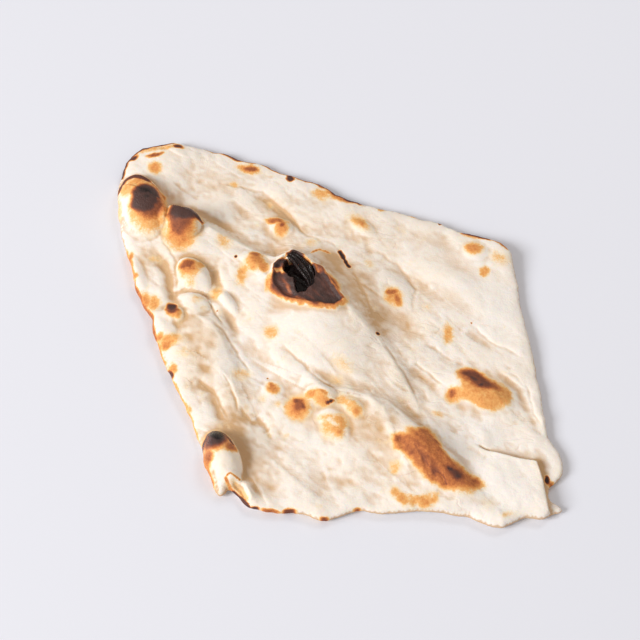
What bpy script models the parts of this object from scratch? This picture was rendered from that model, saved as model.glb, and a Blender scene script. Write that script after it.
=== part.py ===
"""A torn piece of flatbread, baked against the hot wall of a clay oven.

It is one thin wavy leaf of dough. The top carries blisters, creases, one burst blister and a corner
flap; the underside is smoother and lies on the table in several flat patches. The edge is rounded.
Sizes are in millimetres, and the mesh is written in metres. +X is the right of the piece, +Y its far
side and +Z up. The origin is under the middle of its box, at table height.
"""

import math

import bpy
import numpy as np
from mathutils import Vector
from mathutils.geometry import delaunay_2d_cdt

# ---- driving sizes, mm ----
SPAN_X = 195.0  # width of the piece over its outline
SPAN_Y = 194.0  # depth of the piece over its outline
DOUGH = 4.2  # thickness of the leaf away from blisters
RIM_SHARE = 0.42  # share of the dough's thickness left at the very edge
RIM_ROLL = 5.0  # how far in from the edge the rim rounds off
SETTLE = 2.2  # height of the leaf's waves that presses flat on the table
UNDER_SHARE = 0.35  # how much of a crest shows on the underside, where the puffed dough stays lower
UNDER_REACH = 9.0  # least reach of a crest's side on the underside
SOFT = 2.2  # how softly a wave leaves the table

# ---- mesh sizes, mm ----
EDGE_STEP = 2.6  # spacing of points along the outline
EDGE_INSET = 1.6  # the row of points just inside the outline
FINE = 2.25  # point spacing on blisters and the burst; twice that elsewhere
FRAY = 0.5  # small unevenness of the torn edge
GRAIN = -42.0  # degrees: the way the dough was stretched, which its ripples follow
STRETCH = 1.5  # how much longer a ripple is along the grain

# Outline seen from above, clockwise from the left end of the far rim.
OUTLINE = (
    # charred corner and far rim, going right
    (-97, 75), (-94, 87), (-87, 94), (-75, 97), (-66, 95), (-53, 92), (-41, 87), (-28, 83),
    (-16, 77.5), (-4.5, 73.5), (5, 67), (15, 62.5), (28, 58.5), (42, 54.5), (55, 49), (69, 43.5), (79, 38.5),
    # right side, going to the near corner
    (83, 31), (84.5, 18), (85.5, 5), (88, -11), (89.5, -23.5), (91, -40), (92.5, -56), (96, -64.5),
    (97.5, -72), (94, -77), (90.5, -80.5), (90.5, -85), (95, -90), (88, -93.5),
    # near rim, going left
    (79, -93.5), (69, -97), (57, -93.5), (45, -90.5), (33, -91), (21, -91), (10, -90.5), (-2, -94),
    (-13, -91.5), (-24, -91), (-33, -88), (-38, -83), (-41.5, -80.5), (-45, -83), (-48.5, -77),
    # left side, going back up
    (-52, -68.5), (-54, -60), (-58, -50.5), (-62, -40), (-67, -31), (-70.5, -23), (-74, -13.5),
    (-77.5, -2), (-82, 6.5), (-86.5, 18), (-88.5, 28), (-92.5, 39.5), (-96, 54), (-97.5, 65),
)

# Broad waves of the whole leaf: x, y, half length, half width, turn in degrees, rise.
WAVES = (
    (-18, -4, 60, 32, -38, 6.5),  # the bright slope left of the long crest
    (64, 22, 44, 28, -35, 4.0),  # the smooth far right part
    (80, 36, 18, 14, 0, 3.5),  # its lifted corner
    (-82, 82, 26, 18, 20, 5.5),  # the charred far left corner, curled up
    (40, -66, 34, 18, -40, 4.5),  # under the large toasted blister
    (64, -38, 26, 16, -20, 3.5),
    (-60, -28, 20, 30, 18, 3.0),  # the swelling along the left edge
    (-45, -66, 12, 14, -60, 2.5),
    (76, -82, 22, 13, -10, 2.5),  # the corner flap
    (-4, -60, 28, 18, 0, 3.5),
    (8, 52, 36, 14, -25, 3.0),
)

# Crests: places along the top as x, y, rise and reach on the steep side, which is on the left of
# travel, and then the reach on the gentle side.
CRESTS = (
    (
        (
            (-63, 51, 4, 4), (-58.5, 48.5, 5.6, 5), (-53, 45, 5.4, 5.5), (-46.7, 41.5, 4.4, 5.5),
            (-40.3, 38, 4, 5.5), (-36.6, 35.6, 4, 5.5), (-29.3, 31, 5, 5.5), (-23.5, 28.8, 6.6, 5.5),
            (-16, 29.5, 9.4, 8), (-10, 26.5, 9, 10), (-4, 20.5, 8.4, 13), (1.7, 12.4, 8.8, 18),
            (6.5, 5.3, 8.8, 18), (11.6, -1.2, 7.8, 15), (16.4, -7, 5.8, 10), (21.5, -12, 4, 5.5),
            (26.6, -19.5, 3.2, 3.4), (32.7, -31, 2.4, 2.8), (37.5, -42, 1.5, 2.5), (38.5, -48, 0, 3),
        ),
        30,
    ),
    (
        (
            (17, -41, 0.4, 3), (24.6, -42.6, 1.2, 2.4), (29, -46.2, 1.9, 2.2), (33.8, -51.4, 2.5, 2.2),
            (37.7, -55.8, 3, 2.2), (43.3, -61.4, 3.2, 2.2), (47.2, -66.9, 3.1, 2.2), (52, -72.6, 2.6, 2.2),
            (56.9, -78, 1.9, 2.4), (61.3, -81.4, 1.2, 3), (65.5, -85.8, 0.2, 4),
        ),
        15,
    ),
    (
        (
            (-12, -30, 0.3, 4), (-6, -33, 2, 3.5), (0, -37, 2.6, 3.5), (9, -37.5, 2.8, 3.5),
            (17, -41, 2.8, 3.5), (23, -46, 2.4, 3.5), (26, -54, 1, 4),
        ),
        14,
    ),
    (
        (
            (-70, 3, 0.5, 4), (-66, 3, 1.8, 4), (-58, 0, 2.6, 4.5), (-51, -4, 2.8, 5), (-46, -12, 2.6, 5),
            (-42, -22, 2.2, 5), (-38, -31, 0.5, 6),
        ),
        15,
    ),
    (
        ((-50, -24, 0.3, 4), (-45, -28, 1.8, 4), (-40, -34, 2.2, 4), (-38, -43, 2.0, 4), (-39, -53, 0.4, 4)),
        10,
    ),
)

# Blisters: x, y, half length, half width, turn in degrees, rise, how soft its foot is.
BLISTERS = (
    (-85.6, 57.6, 18.5, 11.5, -72, 8.2, 0.5),
    (-67, 48.2, 10.8, 9.4, -50, 7.6, 0.55),
    (-60, 20.2, 11, 7.4, -60, 3.8, 0.7),
    (-60.5, 6.5, 9.5, 7, -15, 2.2, 0.9),
    (-46, 6, 9, 5.2, -52, 2.2, 1.0),
    (-44.4, -69, 14.5, 8.6, -72, 8.6, 0.65),
    (-11, 14, 18, 14, -35, 2.0, 1.4),
    (30, 13, 14, 9, -52, 1.0, 1.2),
    (-33, 26, 9, 6, -50, 1.8, 1.3),
    (-12.5, -45, 6.5, 5.5, 0, 2.0, 1.2),
    (-4, -40, 8, 6, -10, 2.2, 1.0),
    (2, -54, 10, 7, -60, 1.8, 1.3),
    (10, -46, 6, 4.5, -40, 1.4, 1.3),
    (42, -69, 25, 11, -44, 1.8, 1.5),
    (63, -37, 17, 9, -24, 2.4, 1.3),
    (-22, 48, 7, 6, -20, 1.5, 1.3),
    (15, 47, 8, 5, -30, 1.4, 1.3),
    (66, 34, 7, 6, 0, 1.2, 1.4),
    (-68, 1, 6, 5, -40, 1.8, 1.0),
    (-24, -36, 6, 6, 0, 1.2, 1.4),
    (-88, 22, 14, 7, -70, 1.8, 1.2),
    (-74, -4, 12, 7, -60, 1.8, 1.2),
)
STEEP_FALL = 1.1  # a crest's steep side is steepest near its top if this is low
CREST_STEP = 2.0  # how closely a crest is followed from far off
STEEP_SIDE = 48.0  # degrees: the side that blisters lean to
LEAN = 0.45
GENTLE_FOOT = 0.9  # how much softer a blister's foot is on its other side

# Creases pressed into the top: points, half width, depth.
CREASES = (
    (((-75, 30), (-71, 22), (-69, 12), (-64, 4)), 3.0, 1.8),
    (((-68, 12), (-60, 13.5), (-50, 10), (-43, 0), (-40, -8)), 1.8, 1.2),
    (((-51, 24), (-48, 15), (-50, 9)), 2.2, 1.4),
    (((-30, 65), (-21, 58), (-13, 49), (-8, 45)), 2.2, 0.8),
    (((-72, 60), (-61, 58), (-51, 51), (-44, 47)), 2.4, 1.1),
    (((-21, -16), (-12, -23), (-5, -28), (4, -33)), 2.4, 0.9),
    (((-57, -32), (-50, -36), (-45, -50)), 2.4, 0.9),
    (((-31, -48), (-25, -55)), 2.4, 0.8),
    (((35, -24), (47, -34)), 2.4, 0.5),
    (((61, -5), (73, -16), (78, -18)), 2.4, 0.5),
    (((75, -29), (81, -35), (84, -43), (90, -56)), 2.4, 0.7),
)

# The burst blister: its lip from above, how deep the hollow is and how far the lip stands up.
BURST_LIP = (
    (-24.8, 17.5), (-23.3, 24), (-19.8, 28.9), (-15.4, 31.3), (-11, 28), (-7.5, 23.2), (-3.5, 21.5),
    (1.7, 12.4), (6.8, 4.5), (3, 1), (-3.5, 1.5), (-10.4, 3.2), (-16.5, 5.2), (-20.5, 8), (-24, 13),
)
LIP_RISE = 1.4
PLATE_DEPTH = 0.9  # how far its scorched skin has sunk
# The hole torn in it, how deep it is, and the hood of folded skin that stands over its far side.
HOLE = (
    (-18, 28), (-15, 29.8), (-11, 27.8), (-7.5, 23.3), (-5.7, 18), (-6.2, 12.5), (-10.5, 8.6), (-13.8, 9),
    (-15, 14), (-17.6, 17.1), (-20, 21), (-19.7, 25),
)
HOLE_DEPTH = 4.6
HOOD = ((-16, 28), (-11.2, 22), (-8, 16), (-7.4, 10.5))
HOOD_WIDE = 3.4
HOOD_ARCH = 0.8  # how far it stands above the sunk plate

# The corner flap stands above a lower strip beside it: its edge, and the height of that step.
FLAP_EDGE = ((60, -60), (66, -63), (79, -67), (86.5, -68.5), (88.5, -77), (89.5, -88), (90.5, -94))
FLAP_STEP = 3.0
FLAP_REACH = 16.0
STEP_WIDTH = 0.9

# A torn lip curled up beside the near left blister.
CURL = ((-42, -78), (-37.5, -77), (-34, -79.5), (-31, -86))
CURL_RISE = 2.0
CURL_SLIT = ((-39.5, -78.5), (-36, -80.5), (-33.5, -85))
CURL_DEPTH = 1.8

# Crust: linear RGB of the pale crumb-coloured skin.
SKIN = (0.80, 0.64, 0.45, 1.0)
SKIN_ROUGH = 0.72


def rounded(points, step):
    """A closed curve through the points, as places about a step apart."""
    ring = np.array(points, float)
    before, after, beyond = np.roll(ring, 1, 0), np.roll(ring, -1, 0), np.roll(ring, -2, 0)
    t = np.linspace(0, 1, 24, endpoint=False)[None, :, None]
    a, b, c, d = (p[:, None, :] for p in (before, ring, after, beyond))
    curve = 0.5 * (
        2 * b + (c - a) * t + (2 * a - 5 * b + 4 * c - d) * t**2 + (3 * b - a - 3 * c + d) * t**3
    )
    curve = curve.reshape(-1, 2)
    lengths = np.hypot(*(np.roll(curve, -1, 0) - curve).T)
    run = np.concatenate([[0], np.cumsum(lengths)])
    count = int(round(run[-1] / step))
    at = np.arange(count) * run[-1] / count
    closed = np.vstack([curve, curve[:1]])
    return np.column_stack([np.interp(at, run, closed[:, k]) for k in (0, 1)])


def outward(ring):
    """The outward direction at each place of a clockwise ring."""
    ahead = np.roll(ring, -1, 0) - np.roll(ring, 1, 0)
    ahead /= np.hypot(*ahead.T)[:, None]
    return np.column_stack([-ahead[:, 1], ahead[:, 0]])


def ripple(x, y, length, seed):
    """Smooth unevenness, mostly between -1 and 1, with swells about one length across along the grain."""
    slopes = np.random.default_rng(seed).normal(0, 1, (61, 61, 2))
    c, s = math.cos(math.radians(GRAIN)), math.sin(math.radians(GRAIN))
    u = (x * c + y * s) / (length * STRETCH) + 100.3
    v = (y * c - x * s) / length + 100.7
    i, j = np.floor(u).astype(int), np.floor(v).astype(int)
    p, q = u - i, v - j
    total = np.zeros_like(x)
    for di in (0, 1):
        for dj in (0, 1):
            slope = slopes[(i + di) % 61, (j + dj) % 61]
            corner = slope[..., 0] * (p - di) + slope[..., 1] * (q - dj)
            total += corner * smooth(1 - np.abs(p - di)) * smooth(1 - np.abs(q - dj))
    return 1.6 * total


def turned(x, y, cx, cy, long, wide, turn):
    """Distance from an ellipse's middle, 1 at its edge."""
    c, s = math.cos(math.radians(turn)), math.sin(math.radians(turn))
    u = ((x - cx) * c + (y - cy) * s) / long
    v = ((y - cy) * c - (x - cx) * s) / wide
    return np.hypot(u, v)


def dome(x, y, cx, cy, long, wide, turn, foot):
    """A blister of height 1 that leans to the steep side, where its foot is crisp if foot is small."""
    r = turned(x, y, cx, cy, long, wide, turn)
    side = math.radians(STEEP_SIDE)
    q = ((x - cx) * math.cos(side) + (y - cy) * math.sin(side)) / math.hypot(long, wide) * 1.4
    foot = foot + GENTLE_FOOT * np.clip(0.3 - q, 0, 1)
    return np.clip(1 - r * r, 0, 1) ** foot * (1 + LEAN * np.clip(q, -1, 1))


def shares(points):
    """The share of a line's length passed at each of its points."""
    line = np.array(points, float)[:, :2]
    lengths = np.hypot(*(line[1:] - line[:-1]).T)
    return np.concatenate([[0], np.cumsum(lengths)]) / lengths.sum()


def beside(points, x, y):
    """Distance to a line, positive on the left of travel, and the share of its length passed."""
    line = np.array(points, float)[:, :2]
    passed = shares(points)
    best = np.full(x.shape, np.inf)
    side = np.zeros_like(x)
    share = np.zeros_like(x)
    for k, (a, b) in enumerate(zip(line[:-1], line[1:])):
        d = b - a
        t = np.clip(((x - a[0]) * d[0] + (y - a[1]) * d[1]) / (d @ d), 0, 1)
        gap = np.hypot(x - a[0] - t * d[0], y - a[1] - t * d[1])
        turn = np.where(d[0] * (y - a[1]) - d[1] * (x - a[0]) >= 0, 1.0, -1.0)
        nearer = gap < best - 1e-9
        best = np.where(nearer, gap, best)
        side = np.where(nearer, turn, side)
        share = np.where(nearer, passed[k] + t * (passed[k + 1] - passed[k]), share)
    return best * side, share


def ends(share, fade=0.18):
    """Fades a long feature out towards both of its ends."""
    near = np.minimum(share, 1 - share) / fade
    return 0.35 + 0.65 * np.sin(0.5 * math.pi * np.clip(near, 0, 1))


def smooth(t):
    t = np.clip(t, 0, 1)
    return t * t * (3 - 2 * t)


def inside(points, x, y):
    """Distance in from a closed line, negative outside it."""
    gap = np.abs(beside(tuple(points) + (points[0],), x, y)[0])
    ring = np.array(points, float)
    odd = np.zeros(x.shape, bool)
    for a, b in zip(ring, np.roll(ring, -1, 0)):
        crosses = (a[1] > y) != (b[1] > y)
        run = b[1] - a[1] if b[1] != a[1] else 1.0
        odd ^= crosses & (x < a[0] + (y - a[1]) * (b[0] - a[0]) / run)
    return np.where(odd, gap, -gap)


def along_crest(points, x, y):
    """Distance to a crest, positive on its steep side, and its rise and steep reach there.

    Far from the crest all three are averaged over its nearest stretch, so its bends leave no mark.
    """
    line = np.array(points, float)
    at = shares(points)
    gap, share = beside(points, x, y)
    values = [np.abs(gap), np.interp(share, at, line[:, 2]), np.interp(share, at, line[:, 3])]
    length = np.hypot(*(line[1:, :2] - line[:-1, :2]).T).sum()
    stops = np.linspace(0, 1, int(length / CREST_STEP) + 2)
    stations = np.column_stack([np.interp(stops, at, line[:, k]) for k in range(4)])
    away = np.hypot(x[:, None] - stations[:, 0], y[:, None] - stations[:, 1])
    nearest = away.min(1)
    weight = np.exp((nearest[:, None] - away) / (0.08 * nearest[:, None] + 0.8))
    weight /= weight.sum(1)[:, None]
    averaged = [(weight * away).sum(1), weight @ stations[:, 2], weight @ stations[:, 3]]
    far = smooth((nearest - 2) / 6)
    distance, rise, reach = ((1 - far) * a + far * b for a, b in zip(values, averaged))
    return distance * np.sign(gap), rise, reach


def crests(x, y, least_reach, share_of_rise):
    """Height of the crests, with their steep sides blunted to a least reach."""
    z = np.zeros_like(x)
    for points, gentle in CRESTS:
        gap, rise, reach = along_crest(points, x, y)
        steep = np.exp(-((np.abs(gap) / np.maximum(reach, least_reach)) ** STEEP_FALL))
        z += share_of_rise * rise * np.where(gap > 0, steep, np.exp(-((gap / gentle) ** 2)))
    return z


def under(x, y):
    """Height of the underside: zero where the leaf has settled on the table."""
    lift = crests(x, y, UNDER_REACH, UNDER_SHARE) - SETTLE
    for cx, cy, long, wide, turn, rise in WAVES:
        lift += rise * np.exp(-(turned(x, y, cx, cy, long, wide, turn) ** 2))
    lift += 1.3 * ripple(x, y, 34, 5) + 0.7 * ripple(x, y, 17, 8)
    return np.where(lift > 0, lift**2 / (np.abs(lift) + SOFT), 0.0)


def relief(x, y):
    """What the top adds to the thickness of the leaf."""
    z = 0.5 * ripple(x, y, 11, 3)
    z += crests(x, y, 0, 1) - crests(x, y, UNDER_REACH, UNDER_SHARE)
    for cx, cy, long, wide, turn, rise, foot in BLISTERS:
        z += rise * dome(x, y, cx, cy, long, wide, turn, foot)
    for points, wide, depth in CREASES:
        gap, share = beside(points, x, y)
        z -= depth * np.exp(-((gap / wide) ** 2)) * ends(share)
    return z + burst(x, y) + flap(x, y) + curl(x, y)


def burst(x, y):
    """The open blister: a raised lip, a sunk plate, a hole in it and the hood of folded skin over it."""
    into = inside(BURST_LIP, x, y)
    z = LIP_RISE * np.exp(-((into / 1.6) ** 2)) - PLATE_DEPTH * smooth(into / 1.6)
    gap, share = beside(HOOD, x, y)
    cover = np.exp(-((gap / HOOD_WIDE) ** 4)) * ends(share)
    z -= HOLE_DEPTH * smooth(inside(HOLE, x, y) / 1.8 + 0.2) * (1 - cover)
    return z + HOOD_ARCH * cover * smooth(into / 1.6)


def flap(x, y):
    """The step from the lower strip up to the corner flap."""
    gap, share = beside(FLAP_EDGE, x, y)
    up = smooth(0.5 - gap / STEP_WIDTH)
    fade = np.where(gap < 0, np.exp(-((gap / FLAP_REACH) ** 2)), 1.0)
    sunk = -0.45 * np.exp(-((gap / 9.0) ** 2)) * (1 - up)
    return FLAP_STEP * smooth(share / 0.3) * (0.55 * up * fade + sunk)


def curl(x, y):
    gap, share = beside(CURL, x, y)
    z = CURL_RISE * np.exp(-((gap / 2.0) ** 2)) * ends(share)
    gap, share = beside(CURL_SLIT, x, y)
    return z - CURL_DEPTH * np.exp(-((gap / 1.1) ** 2)) * ends(share)


def rim(edge):
    """Share of the full thickness at a distance in from the edge."""
    t = np.clip(1 - edge / RIM_ROLL, 0, 1)
    return RIM_SHARE + (1 - RIM_SHARE) * np.sqrt(1 - t * t)


def faces_at(x, y, edge):
    """Heights of the underside and of the top."""
    base = under(x, y)
    full = np.maximum(DOUGH + relief(x, y), 1.6)
    share = rim(edge)
    tuck = (DOUGH * (1 - share)) * 0.45
    return base + tuck, base + tuck + full * share


def detailed(x, y):
    """Where the fine spacing is wanted: blisters, the burst, sharp steps and the curled lip."""
    near = inside(BURST_LIP, x, y) > -4
    for cx, cy, long, wide, turn, rise, _ in BLISTERS:
        if rise > 2.7:
            near |= turned(x, y, cx, cy, long + 2, wide + 2, turn) < 1
    for line, reach in ((FLAP_EDGE, 3), (CURL, 4), (CRESTS[0][0], 3.5), (CRESTS[1][0], 3.5)):
        near |= np.abs(beside(line, x, y)[0]) < reach
    return near


def points_within(ring, inner):
    """Places for the leaf's points: the outline, a row inside it, rows along the flap, and a lattice."""
    low, high = ring.min(0), ring.max(0)
    rows = int((high[1] - low[1]) / (FINE * math.sqrt(0.75)))
    found = []
    for j in range(rows + 1):
        for i in range(int((high[0] - low[0]) / FINE) + 1):
            found.append((low[0] + (i + 0.5 * (j % 2)) * FINE, low[1] + j * FINE * math.sqrt(0.75), i, j))
    lattice = np.array(found)
    x, y = lattice[:, 0], lattice[:, 1]
    coarse = (lattice[:, 3] % 2 == 0) & ((lattice[:, 2] + lattice[:, 3] // 2) % 2 == 0)
    keep = (inside(ring, x, y) > EDGE_INSET + 1.3) & (coarse | detailed(x, y))
    step = np.array(FLAP_EDGE)
    gap = np.abs(beside(FLAP_EDGE, x, y)[0])
    keep &= gap > 0.5 * STEP_WIDTH + 0.8
    lines = []
    for a, b in zip(step[:-1], step[1:]):
        across = np.array([-(b - a)[1], (b - a)[0]]) / np.hypot(*(b - a))
        count = max(2, int(np.hypot(*(b - a)) / 1.9))
        for k in range(count):
            middle = a + (b - a) * (k + 0.5) / count
            lines += [middle + across * 0.5 * STEP_WIDTH, middle - across * 0.5 * STEP_WIDTH]
    lines = np.array(lines)
    lines = lines[inside(ring, lines[:, 0], lines[:, 1]) > EDGE_INSET + 0.8]
    return np.vstack([ring, inner, lines, lattice[keep][:, :2]])


def leaf():
    """The bread's closed mesh, in metres: both faces split alike, joined by a wall round the edge."""
    ring = rounded(OUTLINE, EDGE_STEP)
    fray = FRAY * (ripple(ring[:, 0], ring[:, 1], 7, 21) + 0.6 * ripple(ring[:, 0], ring[:, 1], 3.6, 22))
    ring = ring + outward(ring) * fray[:, None]
    low, high = ring.min(0), ring.max(0)
    ring = (ring - (low + high) / 2) * np.array([SPAN_X, SPAN_Y]) / (high - low)
    inner = ring - outward(ring) * EDGE_INSET
    clear = inside(ring, inner[:, 0], inner[:, 1]) > 0.8 * EDGE_INSET
    points = points_within(ring, inner[clear])
    count = len(ring)
    loop = [(k, (k + 1) % count) for k in range(count)]
    flat = delaunay_2d_cdt([Vector(p) for p in points], loop, [], 1, 1e-6)
    places = np.array([tuple(p) for p in flat[0]])
    triangles = np.array([face[:] for face in flat[2]])
    a, b, c = (places[triangles[:, k]] for k in range(3))
    area = np.cross(b - a, c - a)
    triangles[area < 0] = triangles[area < 0][:, ::-1]

    x, y = places[:, 0], places[:, 1]
    low_z, top_z = faces_at(x, y, np.maximum(inside(ring, x, y), 0))
    total = len(places)
    vertices = np.vstack([np.column_stack([x, y, top_z]), np.column_stack([x, y, low_z])])
    faces = [tuple(t) for t in triangles] + [tuple(t[::-1] + total) for t in triangles]
    sides = {}
    for t in triangles:
        for i, j in ((t[0], t[1]), (t[1], t[2]), (t[2], t[0])):
            sides[(int(i), int(j))] = True
    for i, j in sides:
        if (j, i) not in sides:
            faces += [(i, i + total, j + total), (i, j + total, j)]
    return vertices / 1000.0, faces


def skin():
    material = bpy.data.materials.new("naan_crust")
    material.use_nodes = True
    shader = material.node_tree.nodes["Principled BSDF"]
    shader.inputs["Base Color"].default_value = SKIN
    shader.inputs["Roughness"].default_value = SKIN_ROUGH
    shader.inputs["Metallic"].default_value = 0.0
    return material


for old in list(bpy.data.objects):
    bpy.data.objects.remove(old, do_unlink=True)

vertices, faces = leaf()
mesh = bpy.data.meshes.new("naan")
mesh.from_pydata(vertices.tolist(), [], faces)
mesh.materials.append(skin())
for face in mesh.polygons:
    face.use_smooth = True
mesh.update()
bread = bpy.data.objects.new("naan", mesh)
bpy.context.scene.collection.objects.link(bread)
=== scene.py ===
"""The looks of a torn piece of oven-baked flatbread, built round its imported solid.

The bread is one closed skin with the solid's own form and finer relief: wrinkles, small bubbles, a
ragged rim and the torn skins over the burst blister. Sizes are in millimetres until a mesh is written.
"""

import math

import bpy
import numpy as np
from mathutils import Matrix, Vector
from mathutils.geometry import delaunay_2d_cdt


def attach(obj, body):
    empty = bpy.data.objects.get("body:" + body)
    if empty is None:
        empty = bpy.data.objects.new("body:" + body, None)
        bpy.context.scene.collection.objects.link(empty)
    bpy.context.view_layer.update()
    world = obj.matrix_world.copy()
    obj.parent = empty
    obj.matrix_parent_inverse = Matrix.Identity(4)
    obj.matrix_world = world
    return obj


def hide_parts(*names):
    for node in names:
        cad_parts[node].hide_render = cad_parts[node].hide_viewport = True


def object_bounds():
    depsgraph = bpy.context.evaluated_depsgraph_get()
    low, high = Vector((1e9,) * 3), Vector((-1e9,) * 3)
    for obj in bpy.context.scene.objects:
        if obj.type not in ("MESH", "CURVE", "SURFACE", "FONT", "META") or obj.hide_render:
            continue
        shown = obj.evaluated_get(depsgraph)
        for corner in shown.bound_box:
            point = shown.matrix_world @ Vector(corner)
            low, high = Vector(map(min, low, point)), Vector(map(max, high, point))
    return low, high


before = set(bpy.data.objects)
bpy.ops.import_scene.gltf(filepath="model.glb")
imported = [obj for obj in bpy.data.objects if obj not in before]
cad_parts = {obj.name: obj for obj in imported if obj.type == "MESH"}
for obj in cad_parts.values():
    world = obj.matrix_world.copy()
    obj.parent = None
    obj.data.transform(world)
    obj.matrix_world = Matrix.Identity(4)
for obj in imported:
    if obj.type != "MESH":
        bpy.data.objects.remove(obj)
solid_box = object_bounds()

# ---- sizes that the solid has too, mm ----
SPAN_X = 195.0  # width of the piece over its outline
SPAN_Y = 194.0  # depth of the piece over its outline
DOUGH = 4.2  # thickness of the leaf away from blisters
RIM_SHARE = 0.42  # share of the dough's thickness left at the rim
RIM_ROLL = 5.0  # how far in from the edge the rim rounds off
SETTLE = 2.2  # height of the leaf's waves that presses flat on the table
UNDER_SHARE = 0.35  # how much of a crest shows on the underside
UNDER_REACH = 9.0  # least reach of a crest's side on the underside
SOFT = 2.2  # how softly a wave leaves the table
FRAY = 0.5  # small unevenness of the torn edge
GRAIN = -42.0  # degrees: the way the dough was stretched
STRETCH = 1.5  # how much longer a ripple is along the grain

# ---- the skin's own sizes, mm ----
EDGE_STEP = 0.65  # spacing of points along the outline
EDGE_ROWS = (0.12, 0.4, 0.8, 1.3)  # rows of points just inside it
SKIN_STEP = 0.72  # spacing of the top's points
FINE_STEP = 0.45  # the same on the burst, the blisters' edges and the sharp lines
UNDER_STEP = 2.8  # spacing of the underside's points
UNDER_ROWS = (0.4, 1.2)  # rows of them just inside the edge
HIGH_BLISTER = 4.5  # blisters that rise more have closer points round them
NEAR_LEFT = (-44.6, -67, 13, 9.6, -68)  # the near left blister's surroundings, with closer points
THINNEST = 1.2  # the least thickness of the leaf before its rim thins it
TUCK = 0.45  # how much of the rim's thinning comes off the underside
PEAK_ROUND = 0.3  # how far below the solid's top the highest places round off
SURROUNDINGS = ((12, 0.16), (90, 0.6))  # how far a hollow is compared, in rounds, and its full depth
EDGE_ROUND = 1.1  # radius that rounds the very edge
TEAR = 0.1  # raggedness of the edge below the frays of the solid
NEAR_TEAR = 0.12  # the same along the near rim, where the piece was torn
MARGIN = 0.05  # how far the skin stays inside the solid's box

# Outline seen from above, clockwise from the left end of the far rim.
OUTLINE = (
    # charred corner and far rim, going right
    (-97, 75), (-94, 87), (-87, 94), (-75, 97), (-66, 95), (-53, 92), (-41, 87), (-28, 83),
    (-16, 77.5), (-4.5, 73.5), (5, 67), (15, 62.5), (28, 58.5), (42, 54.5), (55, 49), (69, 43.5),
    (79, 38.5),
    # right side, going to the near corner
    (83, 31), (84.5, 18), (85.5, 5), (88, -11), (89.5, -23.5), (91, -40), (92.5, -56), (96, -64.5),
    (97.5, -72), (94, -77), (90.5, -80.5), (90.5, -85), (95, -90), (88, -93.5),
    # near rim, going left
    (79, -93.5), (69, -97), (57, -93.5), (45, -90.5), (33, -91), (21, -91), (10, -90.5), (-2, -94),
    (-13, -91.5), (-24, -91), (-33, -88), (-38, -83), (-41.5, -80.5), (-45, -83), (-48.5, -77),
    # left side, going back up
    (-52, -68.5), (-54, -60), (-58, -50.5), (-62, -40), (-67, -31), (-70.5, -23), (-74, -13.5),
    (-77.5, -2), (-82, 6.5), (-86.5, 18), (-88.5, 28), (-92.5, 39.5), (-96, 54), (-97.5, 65),
)

# Broad waves of the whole leaf: x, y, half length, half width, turn in degrees, rise.
WAVES = (
    (-18, -4, 60, 32, -38, 6.5),  # the bright slope left of the long crest
    (64, 22, 44, 28, -35, 4.0),  # the smooth far right part
    (80, 36, 18, 14, 0, 3.5),  # its lifted corner
    (-82, 82, 26, 18, 20, 5.5),  # the charred far left corner, curled up
    (40, -66, 34, 18, -40, 4.5),  # under the large toasted blister
    (64, -38, 26, 16, -20, 3.5),
    (-60, -28, 20, 30, 18, 3.0),  # the swelling along the left edge
    (-45, -66, 12, 14, -60, 2.5),
    (76, -82, 22, 13, -10, 2.5),  # the corner flap
    (-4, -60, 28, 18, 0, 3.5),
    (8, 52, 36, 14, -25, 3.0),
)

# Crests: places along the top as x, y, rise and reach on the steep side, which is on the left of
# travel, and then the reach on the gentle side.
CRESTS = (
    (
        (
            (-63, 51, 4, 4), (-58.5, 48.5, 5.6, 5), (-53, 45, 5.4, 5.5), (-46.7, 41.5, 4.4, 5.5),
            (-40.3, 38, 4, 5.5), (-36.6, 35.6, 4, 5.5), (-29.3, 31, 5, 5.5), (-23.5, 28.8, 6.6, 5.5),
            (-16, 29.5, 9.4, 8), (-10, 26.5, 9, 10), (-4, 20.5, 8.4, 13), (1.7, 12.4, 8.8, 18),
            (6.5, 5.3, 8.8, 18), (11.6, -1.2, 7.8, 15), (16.4, -7, 5.8, 10), (21.5, -12, 4, 5.5),
            (26.6, -19.5, 3.2, 3.4), (32.7, -31, 2.4, 2.8), (37.5, -42, 1.5, 2.5), (38.5, -48, 0, 3),
        ),
        30,
    ),
    (
        (
            (17, -41, 0.4, 3), (24.6, -42.6, 1.2, 2.4), (29, -46.2, 1.9, 2.2), (33.8, -51.4, 2.5, 2.2),
            (37.7, -55.8, 3, 2.2), (43.3, -61.4, 3.2, 2.2), (47.2, -66.9, 3.1, 2.2), (52, -72.6, 2.6, 2.2),
            (56.9, -78, 1.9, 2.4), (61.3, -81.4, 1.2, 3), (65.5, -85.8, 0.2, 4),
        ),
        15,
    ),
    (
        (
            (-12, -30, 0.3, 4), (-6, -33, 2, 3.5), (0, -37, 2.6, 3.5), (9, -37.5, 2.8, 3.5),
            (17, -41, 2.8, 3.5), (23, -46, 2.4, 3.5), (26, -54, 1, 4),
        ),
        14,
    ),
    (
        (
            (-70, 3, 0.5, 4), (-66, 3, 1.8, 4), (-58, 0, 2.6, 4.5), (-51, -4, 2.8, 5), (-46, -12, 2.6, 5),
            (-42, -22, 2.2, 5), (-38, -31, 0.5, 6),
        ),
        15,
    ),
    (
        ((-50, -24, 0.3, 4), (-45, -28, 1.8, 4), (-40, -34, 2.2, 4), (-38, -43, 2.0, 4),
         (-39, -53, 0.4, 4)),
        10,
    ),
)

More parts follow.
